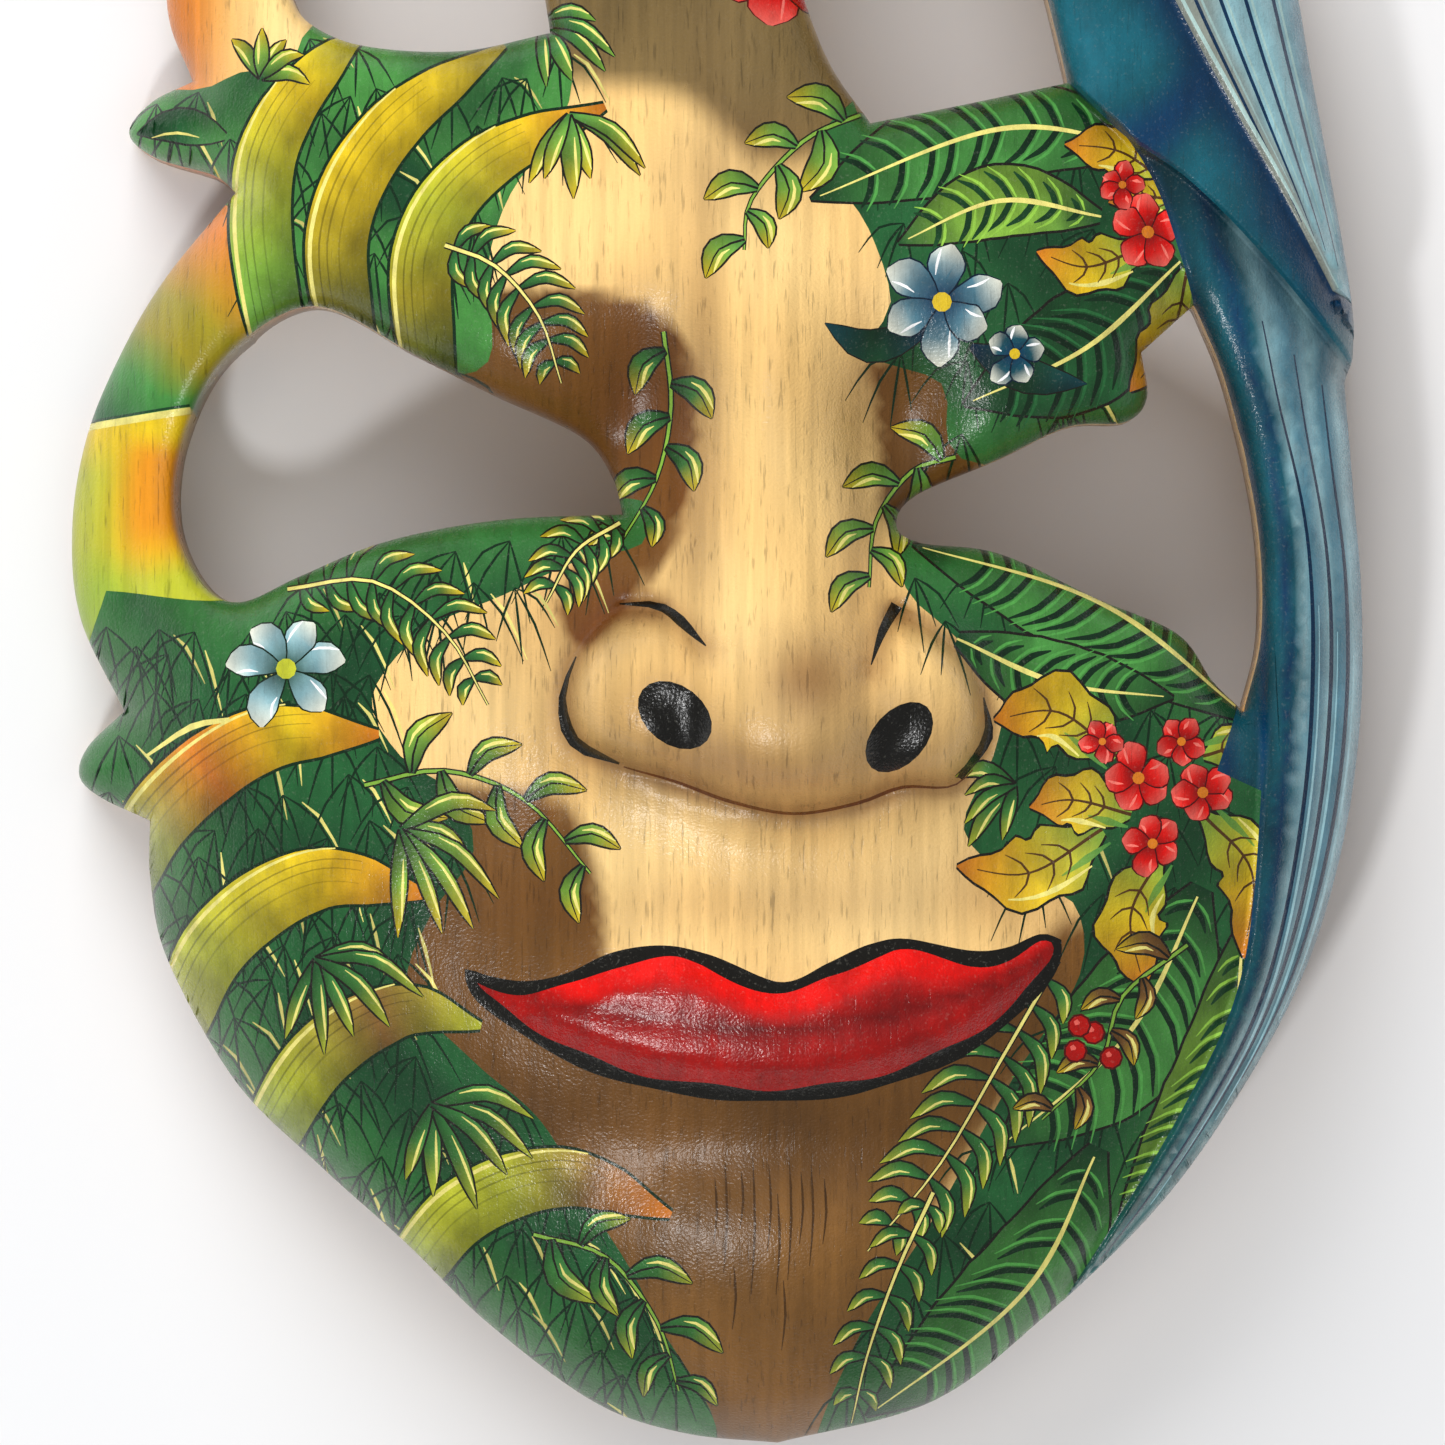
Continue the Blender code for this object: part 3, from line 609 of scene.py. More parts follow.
def undergrowth(area, spacing, reach, lights):
    """Fills an area with bundles of fine dark lines that droop as grass does, some with a light stroke."""
    loop = closed_outline([area + area[:1]], 3)
    low, high = loop.min(0), loop.max(0)
    spots = np.array([(x + spacing / 2 * (row % 2), y)
                      for row, y in enumerate(np.arange(high[1], low[1], -spacing * 0.8))
                      for x in np.arange(low[0], high[0], spacing)])
    spots = spots + rng.uniform(-0.3, 0.3, spots.shape) * spacing
    for spot in spots[inside(spots, loop) & within(spots)]:
        down = -95 + rng.uniform(-24, 24)
        for fan in (-37.5, -12.75, 12.75, 37.5):
            line = drawn(drooping(spot, down + fan + rng.uniform(-6, 6), reach * rng.uniform(0.6, 1.1),
                                  0.25, 0.5), 4)
            draw(line, (0.15, 0.42, 0.32, 0.1), GREEN_DARK * 0.4)
        if rng.random() < lights:
            draw(part_of(line, 0.3, 1), (0.15, 0.5, 0.35, 0.1), CREAM * rng.uniform(0.55, 1), 0.1, 0.55)


def fern(path, reach, count, colours=MOSSY, width=1.5):
    """A frond: leaflets in pairs along a bending stalk, shorter towards its tip."""
    line = smooth_line(path, 0.5)
    for number in range(count):
        at = round((0.06 + 0.92 * number / count) * (len(line) - 1))
        length = reach * math.sin(math.pi * (0.2 + 0.76 * number / count)) ** 0.7 * rng.uniform(0.88, 1.08)
        for hand in (1, -1):
            leaflet = sideways(line, at, hand, length, (0.5, 0.16), (0.78, 0.66), 0, 4)
            blade(leaflet, width, colours, 0.28, 0.34)
    draw(drawn(path, 12), (0.9, 0.7, 0.4), INK)
    draw(drawn(path, 12), (0.5, 0.35, 0.15), CREAM, 0.1)


def vine(path, leaf, count, colours=FRESH, width=0.46):
    """Pointed leaves that hang in turn from either side of a trailing stem."""
    line = smooth_line(path, 0.5)
    stem = drawn(path, 14)
    draw(stem, (0.9, 0.8, 0.5), INK)
    draw(stem, (0.45, 0.4, 0.2), GREEN_LIGHT)
    for number in range(count):
        at = round((number + 0.6) / count * (len(line) - 1))
        length = leaf * rng.uniform(0.8, 1.1) * (1 - 0.25 * number / count)
        side_path = sideways(line, at, 1 if number % 2 else -1, length, (0.48, 0.2), (0.72, 0.75), 2, 2)
        blade(side_path, length * width, colours, 0.32, 0.5)
        draw(drawn(side_path, 5), (0.35, 0.25, 0.1), INK)


def broad_leaf(path, width, dark, light, ribs):
    """A wide leaf with a pale midrib and dark ribs that curve out to its edge."""
    line = smooth_line(path, 1.5)
    body = along_colours(line, [dark, light, light, dark], 0.5, width / 2)
    draw_edged(line, LEAF_SHAPE, width, 0.8, INK, body)
    for number in range(ribs):
        share = 0.08 + 0.8 * number / ribs
        at = round(share * (len(line) - 1))
        length = width / 2 * at_share(share, LEAF_SHAPE)
        for hand in (1, -1):
            rib = drawn(sideways(line, at, hand, length, (0.5, 0.28), (0.88, 0.75)), 5)
            draw(rib, (0.8, 0.9, 0.7, 0.2), along_colours(rib, [dark * 0.35, dark * 0.5]))
            draw(rib, (0.2, 0.5, 0.3, 0.1), np.minimum(light * 1.35, 1), offset=0.85 * hand)
    draw(part_of(line, 0.02, 0.97), (0.3, 0.75, 0.5, 0.15), CREAM, 0.1)


def strap(path, width, colours):
    """A long arching leaf that ends in a point, with fine seams and a cream edge."""
    line = smooth_line(path, 1.6)
    draw_edged(line, STRAP_SHAPE, width, 0.9, GREEN_DARK * 0.4, along_colours(line, colours, 0.55, width / 2))
    for share in (-0.26, -0.05, 0.14, 0.27):
        draw(part_of(line, 0.04, 0.8), (0.1, 0.3, 0.12), along_colours(line, [c * 0.5 for c in colours]),
             offset=width * share)
    draw(part_of(line, 0, 0.74), (0.5, 0.6, 0.2), CREAM, 0.1, width * 0.42)


def wavy_leaf(path, width):
    """A leaf of green, yellow and orange with a wavy edge, a dark midrib and a few short veins."""
    line = drawn(path, 16)
    share = np.linspace(0, 1, len(line))
    shape = at_share(share, LEAF_SHAPE) * (1 + 0.16 * np.sin(share * 19 + path[0][0]))
    body = along_colours(line, (GREEN_LIGHT, YELLOW, ORANGE), 0.35, width / 2)
    draw_edged(line, shape, width, 0.8, INK, body)
    draw(part_of(line, 0, 0.4), (0.3, 1.1, 0.2), along_colours(line, [GREEN_MID, LIME]), offset=width * 0.22)
    draw(part_of(line, 0.2, 0.7), (0.2, 0.8, 0.2), CREAM, 0.1, width * 0.34)
    draw(part_of(line, 0, 0.9), (0.5, 0.35, 0.15), UMBER * 0.6)
    for number in range(3):
        at = round((0.22 + 0.5 * number / 3) * (len(line) - 1))
        for hand in (1, -1):
            vein = drawn(sideways(line, at, hand, width * 0.3, (0.5, 0.25), (1, 0.9)), 3)
            draw(vein, (0.35, 0.3, 0.1), UMBER * 0.6)


def blossom(centre, radius, petals, turn=0.0, colours=(RED_DEEP, RED_BRIGHT, PINK), heart=ORANGE, plump=0.8):
    """Rounded petals round a small heart."""
    for number in range(petals):
        angle = turn + 2 * math.pi * number / petals + rng.uniform(-0.16, 0.16)
        out = np.array((math.cos(angle), math.sin(angle))) * rng.uniform(0.85, 1.12)
        bend = np.array((-out[1], out[0])) * radius * rng.uniform(-0.14, 0.14)
        start = np.array(centre) + out * radius * 0.1
        line = drawn([start, start + out * radius * 0.5 + bend, start + out * radius * 0.9], 6, 0.6)
        width = radius * plump
        body = along_colours(line, colours, 0.3, width / 2)
        draw_edged(line, PETAL_SHAPE, width, 0.5, colours[0] * 0.25, body)
        light = np.minimum(colours[-1] * 1.5, 1)
        draw(part_of(line, 0.35, 0.9), (0.1, 0.5, 0.1), light, 0.1, radius * 0.16)
    lay(np.array(centre) + radius * 0.17 * circle(10), heart)


def leafy_ground(light):
    def at(points):
        share = ease(1.3 * cloud(points, 5, 2.0) - 0.15)
        rim = 0.4 * ease((14 - edge_distance(points)) / 12)
        return mixed(mixed(GREEN_DARK, light, share), GREEN_MID, rim)
    return at


for area, light in (
        (GREEN_LEFT_BROW, GREEN_MID), (GREEN_LEFT_CHEEK, GREEN_DEEP), (GREEN_RIGHT_BROW, GREEN_DEEP),
        (GREEN_RIGHT_CHEEK, GREEN_DEEP), (GREEN_CROWN, GREEN_DEEP)):
    lay(closed_outline([area + area[:1]], 2.5), leafy_ground(light))

# Crown and upright
undergrowth(GREEN_CROWN, 11, 9, 0.2)
broad_leaf([(-84, 206), (-78, 226), (-60, 248)], 13, GREEN_DARK, GREEN_MID, 8)
broad_leaf([(-64, 240), (-48, 256), (-26, 262)], 14, GREEN_DEEP, GREEN_LIGHT, 8)
broad_leaf([(34, 262), (14, 264), (-8, 256)], 14, GREEN_DEEP, GREEN_MID, 8)
broad_leaf([(-34, 268), (-12, 268), (14, 270)], 11, GREEN_DARK, GREEN_LIGHT, 8)
fern([(-26, 252), (-14, 246), (-8, 236), (-8, 226)], 7, 8)
blossom((1.5, 204), 8.5, 5, 0.9)
blossom((-40, 254), 5, 5, 0.2)

# Left brow
undergrowth(GREEN_LEFT_BROW, 7, 10, 0.4)
strap([(-67, 150), (-70, 171), (-67, 184), (-55, 198)], 8.8, [GREEN_MID, GREEN_LIGHT, LIME, YELLOW, LIME])
strap([(-57, 150), (-59, 168), (-52, 182), (-36, 194)], 8.8, [GREEN_DEEP, OLIVE, YELLOW, YELLOW, OLIVE])
strap([(-46, 146), (-47, 165), (-39, 177), (-22, 185)], 8.6, [GREEN_DEEP, OLIVE, LIME, YELLOW, ORANGE])
spray((-70, 190), 60, 9, 5, 120, 1.8)
spray((-31, 197), -35, 10, 5, 90, 2.0, (GREEN_DARK, GREEN_MID, GREEN_LIGHT))
spray((-27, 184), -75, 12, 6, 110, 2.2, SUNLIT)
fern([(-44, 166), (-37, 163), (-31, 156), (-28, 147)], 8, 9, TIPPED)
vine([(-14, 154), (-13, 144), (-15, 134), (-20, 125)], 8, 7, (GREEN_DARK, GREEN_MID, YELLOW))

# Right brow
undergrowth(GREEN_RIGHT_BROW, 9, 9, 0.1)
broad_leaf([(52, 180), (32, 182), (6, 172)], 15, GREEN_DARK, GREEN_MID, 10)
broad_leaf([(57, 164), (44, 152), (27, 144)], 16, GREEN_DARK, GREEN_DEEP, 9)
broad_leaf([(46, 170), (32, 172), (18, 166)], 10, GREEN_DEEP, GREEN_LIGHT, 7)
vine([(13, 184), (5, 180), (-2, 172), (-3, 165)], 8.5, 7, SUNLIT)
for path, width in (([(56, 174), (49, 179), (41, 180)], 7.5), ([(58, 163), (56, 154), (50, 146)], 8),
                    ([(52, 166), (44, 163), (37, 165)], 7.5), ([(58, 172), (52, 173), (47, 172)], 5)):
    wavy_leaf(path, width)
blossom((52.5, 168), 5.2, 5, 0.2)
blossom((49, 174.5), 3.2, 5, 1.2)
for path, width in (([(22, 154), (14, 152), (8, 155)], 4.5), ([(28, 152), (36, 148), (44, 147)], 5)):
    blade(path, width, (BLUE_DEEP * 0.5, GREEN_DARK, BLUE_TEAL * 0.6), 0.2, 0)
blossom((24, 158), 8, 6, 0.4, (BLUE_DEEP, BLUE_MID, WHITE), YELLOW, 0.62)
blossom((34, 151), 4.4, 5, 0.1, (BLUE_DEEP, BLUE_TEAL, WHITE), YELLOW, 0.7)
vine([(26, 137), (20, 135), (15, 128), (14, 119)], 9.5, 7, SUNLIT, 0.4)

# Left cheek
undergrowth(GREEN_LEFT_CHEEK, 7, 11, 0.4)
strap([(-92, 74), (-84, 88), (-70, 98), (-53, 99)], 10, [GREEN_MID, LIME, ORANGE, YELLOW, ORANGE])
strap([(-84, 54), (-76, 70), (-62, 79), (-46, 77)], 9.6, [LIME, LIME, YELLOW, ORANGE])
strap([(-72, 38), (-62, 54), (-50, 61), (-39, 59)], 9, [GREEN_LIGHT, LIME, UMBER_LIGHT, LIME])
strap([(-52, 20), (-42, 33), (-28, 38), (-13, 33)], 9, [GREEN_LIGHT, LIME, LIME, UMBER_LIGHT, ORANGE])
fern([(-66, 119), (-54, 120), (-44, 113), (-38, 103)], 8, 10, TIPPED)
fern([(-20, 128), (-26, 124), (-30, 117)], 6.5, 6, TIPPED, 1.4)
blossom((-66, 108), 8.5, 6, 0.1, (GREEN_DARK, BLUE_PALE, WHITE), LIME, 0.5)
vine([(-55, 92), (-44, 94), (-33, 90), (-24, 80)], 11, 9, FRESH, 0.34)
spray((-50, 86), -40, 14, 6, 110, 2.2)
spray((-62, 68), -50, 14, 6, 120, 2.1, MOSSY)
spray((-46, 48), -50, 14, 6, 120, 2.1, MOSSY)
vine([(-32, 30), (-22, 27), (-15, 18), (-12, 8)], 10, 8, MOSSY, 0.34)

# Fine dark streaks down the middle of the chin, as if of bark
for x, y, length in ((-7, 38, 9), (-5.6, 40, 15), (-3.4, 39, 8), (-1.8, 41, 19), (0.4, 40, 12), (1.6, 36, 14),
                     (3.2, 41, 17), (4.8, 39, 10), (6.2, 40, 14), (8.0, 38, 9), (-4.4, 26, 9), (2.4, 24, 10)):
    streak = drawn([(x, y), (x + 0.3, y - length / 2), (x - 0.2, y - length)], 4)
    draw(streak, (0.1, 0.4, 0.3, 0.1), UMBER * 0.5, 0.7)

# Right cheek and the side of the chin
undergrowth(GREEN_RIGHT_CHEEK, 9, 10, 0.15)
broad_leaf([(66, 102), (46, 117), (20, 125)], 17, GREEN_DARK, GREEN_MID, 12)
broad_leaf([(26, 112), (40, 106), (56, 104)], 11, GREEN_DARK, GREEN_MID, 8)
broad_leaf([(60, 78), (50, 58), (32, 42)], 19, GREEN_DARK, GREEN_MID, 11)
broad_leaf([(66, 72), (63, 50), (48, 26)], 15, GREEN_DEEP, GREEN_LIGHT, 11)
broad_leaf([(46, 42), (36, 22), (14, 4)], 17, GREEN_DARK, GREEN_MID, 11)
fern([(40, 68), (32, 54), (24, 40), (14, 28)], 10, 11, MOSSY, 1.9)
fern([(23, 36), (18, 25), (14, 13), (12, 3)], 6.5, 7, MOSSY, 1.6)
spray((34, 92), -155, 9, 5, 90, 1.9, MOSSY)
for path, width in (([(48, 96), (40, 102), (31, 101)], 10), ([(46, 86), (36, 80), (26, 81)], 10),
                    ([(60, 88), (67, 80), (66, 68)], 9), ([(54, 82), (50, 74), (52, 64)], 9),
                    ([(60, 96), (66, 97), (71, 92)], 7), ([(50, 88), (42, 90), (36, 89)], 8)):
    wavy_leaf(path, width)
for x, y, r in ((51, 93, 5.0), (60, 91, 4.6), (53, 84, 4.2), (57, 98, 3.6), (46, 98, 3.0)):
    blossom((x, y), r, 5, x * 0.7)
vine([(58, 70), (49, 63), (46, 54), (38, 46)], 7, 7, (UMBER, UMBER_LIGHT, YELLOW), 0.4)
for berry in np.array(((45, 58), (42.5, 55.5), (47.5, 54.5), (43, 59))):
    lay(berry + circle(9) * 1.7, RED_DEEP * 0.3)
    lay(berry + circle(9) * 1.4, RED)
    lay(berry + (-0.35, 0.45) + circle(9)[::2] * 0.448, PINK)

# The left horn and the knob below the cane
blade([(-75, 182), (-82, 184), (-88, 183)], 5, (GREEN_MID, GREEN_DEEP, GREEN_DARK), 0.3, 0.4)
ring = smooth_line([(-99, 141.5), (-90, 142.6), (-80, 144)], 1.2)
draw(ring, (1.0, 1.0), CREAM, 0.1)
draw(ring, (0.35, 0.35), GREEN_DARK, offset=0.75)
draw(drawn([(-86, 96), (-79.5, 100), (-74, 101)], 6), (0.4, 0.9, 0.6), CREAM, 0.1)

# The bird: a dark body, the long feathers of its tail, the folded wing, and a plain eye and beak
beyond = np.array(((100, 20), (100, 150), (100, 249)))


def tail_colours(points):
    colour = ramp(share_across(points, tail_line) + 0.04 * cloud(points, 3), [
        BLUE_DEEP, BLUE_TEAL * 0.6, BLUE_TEAL, BLUE_DEEP, BLUE_TEAL, BLUE_PALE, BLUE_MID, BLUE_MID, BLUE_PALE,
        BLUE_MID, BLUE_MID, BLUE_PALE, BLUE_MID])
    colour = mixed(colour, GREEN_DEEP, 0.5 * ease((80 - points[:, 1]) / 60))
    # Painted shade darkens the tail next to the raised flank
    shade_under_flank = 0.5 + 0.5 * ease(nearest_on(points, flank_line)[0] / 9)
    return colour * (shade_under_flank * (0.8 + 0.35 * cloud(points, 4)))[:, None]


def flank_colours(points):
    blue = ramp(cloud(points, 5), [BLUE_DEEP * 1.1, BLUE_TEAL, BLUE_TEAL * 1.5])
    # Painted shade: the flank is darker blue next to the edge of the raised wing
    return mixed(BLUE_DEEP * 0.8, blue, ease(nearest_on(points, wing_line)[0] / 8))


def wing_colours(points):
    share = share_across(points, wing_line)
    colour = ramp(share + 0.1 * cloud(points, 2), [
        pigment(122, 126, 116), pigment(150, 158, 148), BLUE_PALE, BLUE_PALE, BLUE_PALE, BLUE_MID])
    return colour * (1.05 - 0.15 * flutes(share, WING_FEATHERS, 3))[:, None]


lay(np.array(((62, 94), (65.5, 104), (66.5, 116), (70, 118), (71, 90))), tail_colours)
lay(np.vstack([bird_line, beyond]), tail_colours)
lay(np.vstack([bird_line[bird_line[:, 1] > 196], flank_line, beyond[1:]]), flank_colours)
lay(np.vstack([wing_line, beyond[1:]]), wing_colours)


def between(first, second, share, count=60):
    """A line that lies the share of the way from the first line to the second."""
    both = []
    for line in (first, second):
        lengths = lengths_along(line)
        at = np.linspace(0, lengths[-1], count)
        both.append(np.stack([np.interp(at, lengths, values) for values in line.T], 1))
    return both[0] * (1 - share) + both[1] * share


right_side = smooth_line(RIGHT_EDGE, 2)[::-1]
for share, until in ((0.5, 0.96), (0.68, 0.86), (0.84, 0.74)):
    line = between(tail_line[4:], right_side[:70], share)
    draw(part_of(line, 0.03, until), (0.2, 0.6, 0.6, 0.2), BLUE_DEEP * 0.6)
    draw(part_of(line, 0.3, until - 0.06), (0.1, 0.35, 0.4, 0.1), BLUE_PALE * 1.3, offset=0.9)
wing_side = smooth_line(WING_EDGE, 2)[::-1]
for share in (0.16, 0.36, 0.56, 0.78):
    line = between(wing_line, wing_side[4:], share, 36)
    draw(part_of(line, 0.04, 0.84), (0.2, 0.55, 0.45, 0.1), BLUE_DEEP * 0.8)
    draw(part_of(line, 0.1, 0.76), (0.1, 0.35, 0.3, 0.1), pigment(170, 204, 200), offset=0.8)
draw(wing_line, (0.2, 0.5, 0.6, 0.2), pigment(176, 206, 200), offset=0.9)
for radius, colour in ((2.6, BLUE_PALE), (2.0, INK)):
    lay(np.array((43, 243)) + circle(20) * radius, colour)
lay(np.array((43.7, 243.8)) + circle(20)[::3] * 0.5, WHITE)
lay(np.array(((34, 240), (36, 246), (29, 239), (30, 236))), YELLOW)

# Nostrils, the lines of the nose, and the mouth
for centre, spread, degrees in NOSTRILS:
    oval = circle(20) * (spread[0] * 1.14, spread[1] * 1.2)
    lay(centre + np.stack(turned(oval, -degrees), 1), INK * 0.5, 0.2)
for path, widths in (([(-20, 116.8), (-14, 116.2), (-8.2, 111)], (0.2, 1.1, 1.5, 0.2)),
                     ([(-25.9, 109.6), (-27.8, 104), (-26.2, 98), (-20, 95)], (0.2, 1.0, 1.7, 1.5, 0.3)),
                     ([(17.8, 116.6), (15.8, 113), (14.2, 108.4)], (1.7, 1.2, 0.15)),
                     ([(29.6, 104), (30.2, 98.6), (26.4, 93)], (0.2, 1.5, 0.9))):
    draw(drawn(path, 8), widths, INK, 0.15)
draw(part_of(nose_fold, 0.3, 0.76), (0.2, 0.5, 0.4, 0.5, 0.15), UMBER_DEEP * 0.8)

LIP_LINE = 1.2


def left_of(loop):
    """The direction square to a closed loop, to its left, at each of its points."""
    return across_line(np.vstack([loop[-1:], loop, loop[:1]]))[1:-1]


outward = left_of(mouth_loop)
uneven = 1 + 0.25 * np.sin(np.arange(len(mouth_loop)) * 0.35)
lay(mouth_loop + outward * 0.6 * uneven[:, None], INK * 0.6, 0.1)
mouth_corners = (UPPER_LIP_EDGE[0], LOWER_LIP_EDGE[0])
corner_gap = np.min([np.linalg.norm(mouth_loop - corner, axis=1) for corner in mouth_corners], axis=0)
ink_width = LIP_LINE * (0.45 + 0.55 * ease(corner_gap / 9))
mouth_core = mouth_loop - outward * (ink_width * uneven)[:, None]


def lip_colours(points):
    """Deep red, brighter under the upper edge and over the lower lip, with painted shade along the crease
    where the lips meet.
    """
    depth = loop_distance(points, mouth_loop)
    gap, side, _ = nearest_on(points, parting_line)
    upper = ease(0.5 + side * gap / 2)
    red = ramp(upper * ease((7 - depth) / 5), [RED_DEEP, RED_BRIGHT])
    red = mixed(red, RED, 0.5 * (1 - upper) * ease((gap - 1) / 3))
    return red * ((1 - 0.45 * np.exp(-gap ** 2)) * (0.85 + 0.3 * cloud(points, 3)))[:, None]


keep = (loop_distance(mouth_core, mouth_loop) > ink_width * 0.72) & inside(mouth_core, mouth_loop)
lay(mouth_core[keep], lip_colours, 0.12)

# The mask's surface. One closed skin over the carved block, hollowed out behind inside a flat rim so that
# it lies on a wall or a face. Its front is cut into facets that follow every edge of the paint.

GRID = 1.7
CLEAR_OF_EDGE = 1.2
CLEAR_OF_PAINT = 0.8
ROUND_RINGS = (0.12, 0.45, 1.0, 1.8, 2.9, 4.3, 6.0)
BESIDE_STEPS = (-0.9, -0.35, 0.35, 0.9)
BACK_ROUND = 0.0012
HOLLOW_INSET = RIM_WIDTH / STEP
HOLLOW_POINTS = 170
MERGE_GAP = 1e-4


def hollow_crossings(loop):
    """The loop with a point added wherever it crosses the edge of the hollow."""
    radius = oval_radius(loop, HOLLOW_INSET)
    points = []
    for start, stop, a, b in zip(loop, np.roll(loop, -1, axis=0), radius, np.roll(radius, -1)):
        points.append(start)
        if (a - 1) * (b - 1) < 0:
            points.append(start + (stop - start) * (1 - a) / (b - a))
    return np.array(points)


def triangles(points, edges, outlines):
    """Cuts what lies inside the first outline and outside the others into triangles on the points."""
    made = delaunay_2d_cdt([Vector(p) for p in points], edges, [], 0, MERGE_GAP)
    flat = np.array([tuple(p) for p in made[0]])
    faces = np.array(made[2])
    crossed = np.sum([inside(flat[faces].mean(1), outline) for outline in outlines], axis=0)
    used, faces = np.unique(faces[crossed % 2 == 1], return_inverse=True)
    return flat[used], faces.reshape(-1, 3)


def rings_inside(depths):
    """Points round the inside of every edge, at these depths."""
    found = []
    for number, loop in enumerate(loops):
        x, y = loop.T
        runs_left = np.sum(x * np.roll(y, -1) - np.roll(x, -1) * y) > 0
        inward = left_of(loop) * (1 if runs_left == (number == 0) else -1)
        for depth in depths:
            ring = loop + inward * depth
            found.append(ring[edge_distance(ring) > 0.96 * depth])
    return np.vstack(found)


def add_row(points, edges, row, closed=True):
    start, count = len(points), len(row)
    edges.extend((start + i, start + (i + 1) % count) for i in range(count if closed else count - 1))
    points.extend(row)


def front_sheet():
    """Points and facets of the front, with edges along every outline, brush stroke and carved step."""
    points, edges = [], []
    for loop in loops + [outline for outline, _, _ in brushwork]:
        add_row(points, edges, loop)
    low, high = loops[0].min(0), loops[0].max(0)
    rows = np.arange(low[1], high[1], GRID * math.sqrt(3) / 2)
    grid = np.array([(x + GRID / 2 * (row % 2), y) for row, y in enumerate(rows)
                     for x in np.arange(low[0], high[0], GRID)])
    tree = search_tree(points)
    grid = grid[within(grid, CLEAR_OF_EDGE)]
    grid = grid[[tree.find((x, y, 0))[2] > CLEAR_OF_PAINT for x, y in grid]]
    points.extend(rings_inside(ROUND_RINGS))
    points.extend(grid)
    for line in (bird_line, flank_line, wing_line, nose_fold):
        for gap in BESIDE_STEPS:
            add_row(points, edges, line + across_line(line) * gap, False)
    return triangles(points, edges, loops)


def ordered_loops(faces):
    """The edges of a sheet that only one of its faces uses, as closed rows of corners."""
    ends = np.concatenate([faces[:, [0, 1]], faces[:, [1, 2]], faces[:, [2, 0]]])
    used = set(map(tuple, ends.tolist()))
    following = {a: b for a, b in used if (b, a) not in used}
    found = []
    while following:
        start, here = following.popitem()
        row = [start]
        while here != start:
            row.append(here)
            here = following.pop(here)
        found.append(row)
    return found


def back_sheet(rims):
    """The back under the same edges: the flat rim, the edge of the hollow, and rings down into it."""
    points, edges = [], []
    for rim in rims:
        add_row(points, edges, rim)
    round_oval = circle(HOLLOW_POINTS)
    tall = np.where(round_oval[:, 1] < 0, OVAL_DOWN, OVAL_UP) - HOLLOW_INSET
    oval = round_oval * np.column_stack([np.full(HOLLOW_POINTS, OVAL_HALF_WIDTH - HOLLOW_INSET), tall])
    edge = OVAL_CENTRE + oval
    on_edge = [rim[np.abs(oval_radius(rim, HOLLOW_INSET) - 1) < MERGE_GAP] for rim in rims]
    edge = np.vstack([edge[within(edge, 0.5)], *on_edge])
    off = edge - OVAL_CENTRE
    edge = edge[np.argsort(np.arctan2(off[:, 1], off[:, 0]))]
    following = np.roll(edge, -1, axis=0)
    joined = within((edge + following) / 2) & (np.linalg.norm(edge - following, axis=1) < 9)
    start = len(points)
    edges += [(start + i, start + (i + 1) % len(edge)) for i in np.flatnonzero(joined).tolist()]
    points.extend(edge)
    for angle in np.radians(np.arange(85, 4, -7.5)):
        ring = OVAL_CENTRE + oval[::2] * math.sin(angle)
        points.extend(ring[within(ring, 1.0)])
    points.extend(rings_inside((BACK_ROUND / STEP * 0.3, BACK_ROUND / STEP)))
    return triangles(points, edges, rims)


def back_height(points, edge_gap):
    room = np.maximum(1 - oval_radius(points, HOLLOW_INSET) ** 2, 0)
    short = np.clip(1 - edge_gap * STEP / BACK_ROUND, 0, 1)
    return (EDGE_HEIGHT + FACE_RISE - WALL) * np.sqrt(room) + BACK_ROUND * (1 - np.sqrt(1 - short ** 2))


loops = [hollow_crossings(loop) for loop in loops]
front_flat, front_faces = front_sheet()
front_gap = edge_distance(front_flat)
front_rows = ordered_loops(front_faces)
back_flat, back_faces = back_sheet([front_flat[row] for row in front_rows])
back_z = back_height(back_flat, edge_distance(back_flat))
corners = np.vstack([np.column_stack([(front_flat - middle) * STEP, front_height(front_flat, front_gap)]),
                     np.column_stack([(back_flat - middle) * STEP, back_z])])

# The sides join front and back. The paint runs over the rounded edges and fades out down them
SIDE_WOOD = UMBER_LIGHT * 0.8
SHARP_ANGLE = 38
ground = ground_coat(front_flat)
side_faces, side_colours = [], []
start = len(front_flat)
for row in front_rows:
    for i, here in enumerate(row):
        j = (i + 1) % len(row)
        side_faces.append([row[j], here, start + i, start + j])
        side_colours += [ground[row[j]], ground[here], SIDE_WOOD, SIDE_WOOD]
    start += len(row)

mask_mesh = bpy.data.meshes.new("carved_mask")
mask_mesh.from_pydata(corners.tolist(), [], front_faces.tolist()
                      + (back_faces[:, ::-1] + len(front_flat)).tolist() + side_faces)
mask_mesh.validate()
mask_mesh.shade_smooth()
mask_mesh.set_sharp_from_angle(angle=math.radians(SHARP_ANGLE))

# Each face takes the topmost paint that it lies in, and its corners take that paint's colour there
centres = front_flat[front_faces].mean(1)
top = np.full(len(centres), -1)
for number, (outline, _, _) in enumerate(brushwork):
    near = np.flatnonzero(((centres > outline.min(0)) & (centres < outline.max(0))).all(1))
    top[near[inside(centres[near], outline)]] = number
front_corners = front_faces.reshape(-1)
spots = front_flat[front_corners]
colours = ground[front_corners]
shows = np.ones(len(spots))
owner = np.repeat(top, 3)
for number, (_, colour, shown) in enumerate(brushwork):
    mine = np.flatnonzero(owner == number)
    if len(mine):
        colours[mine] = colour(spots[mine]) if callable(colour) else colour
        shows[mine] = shown

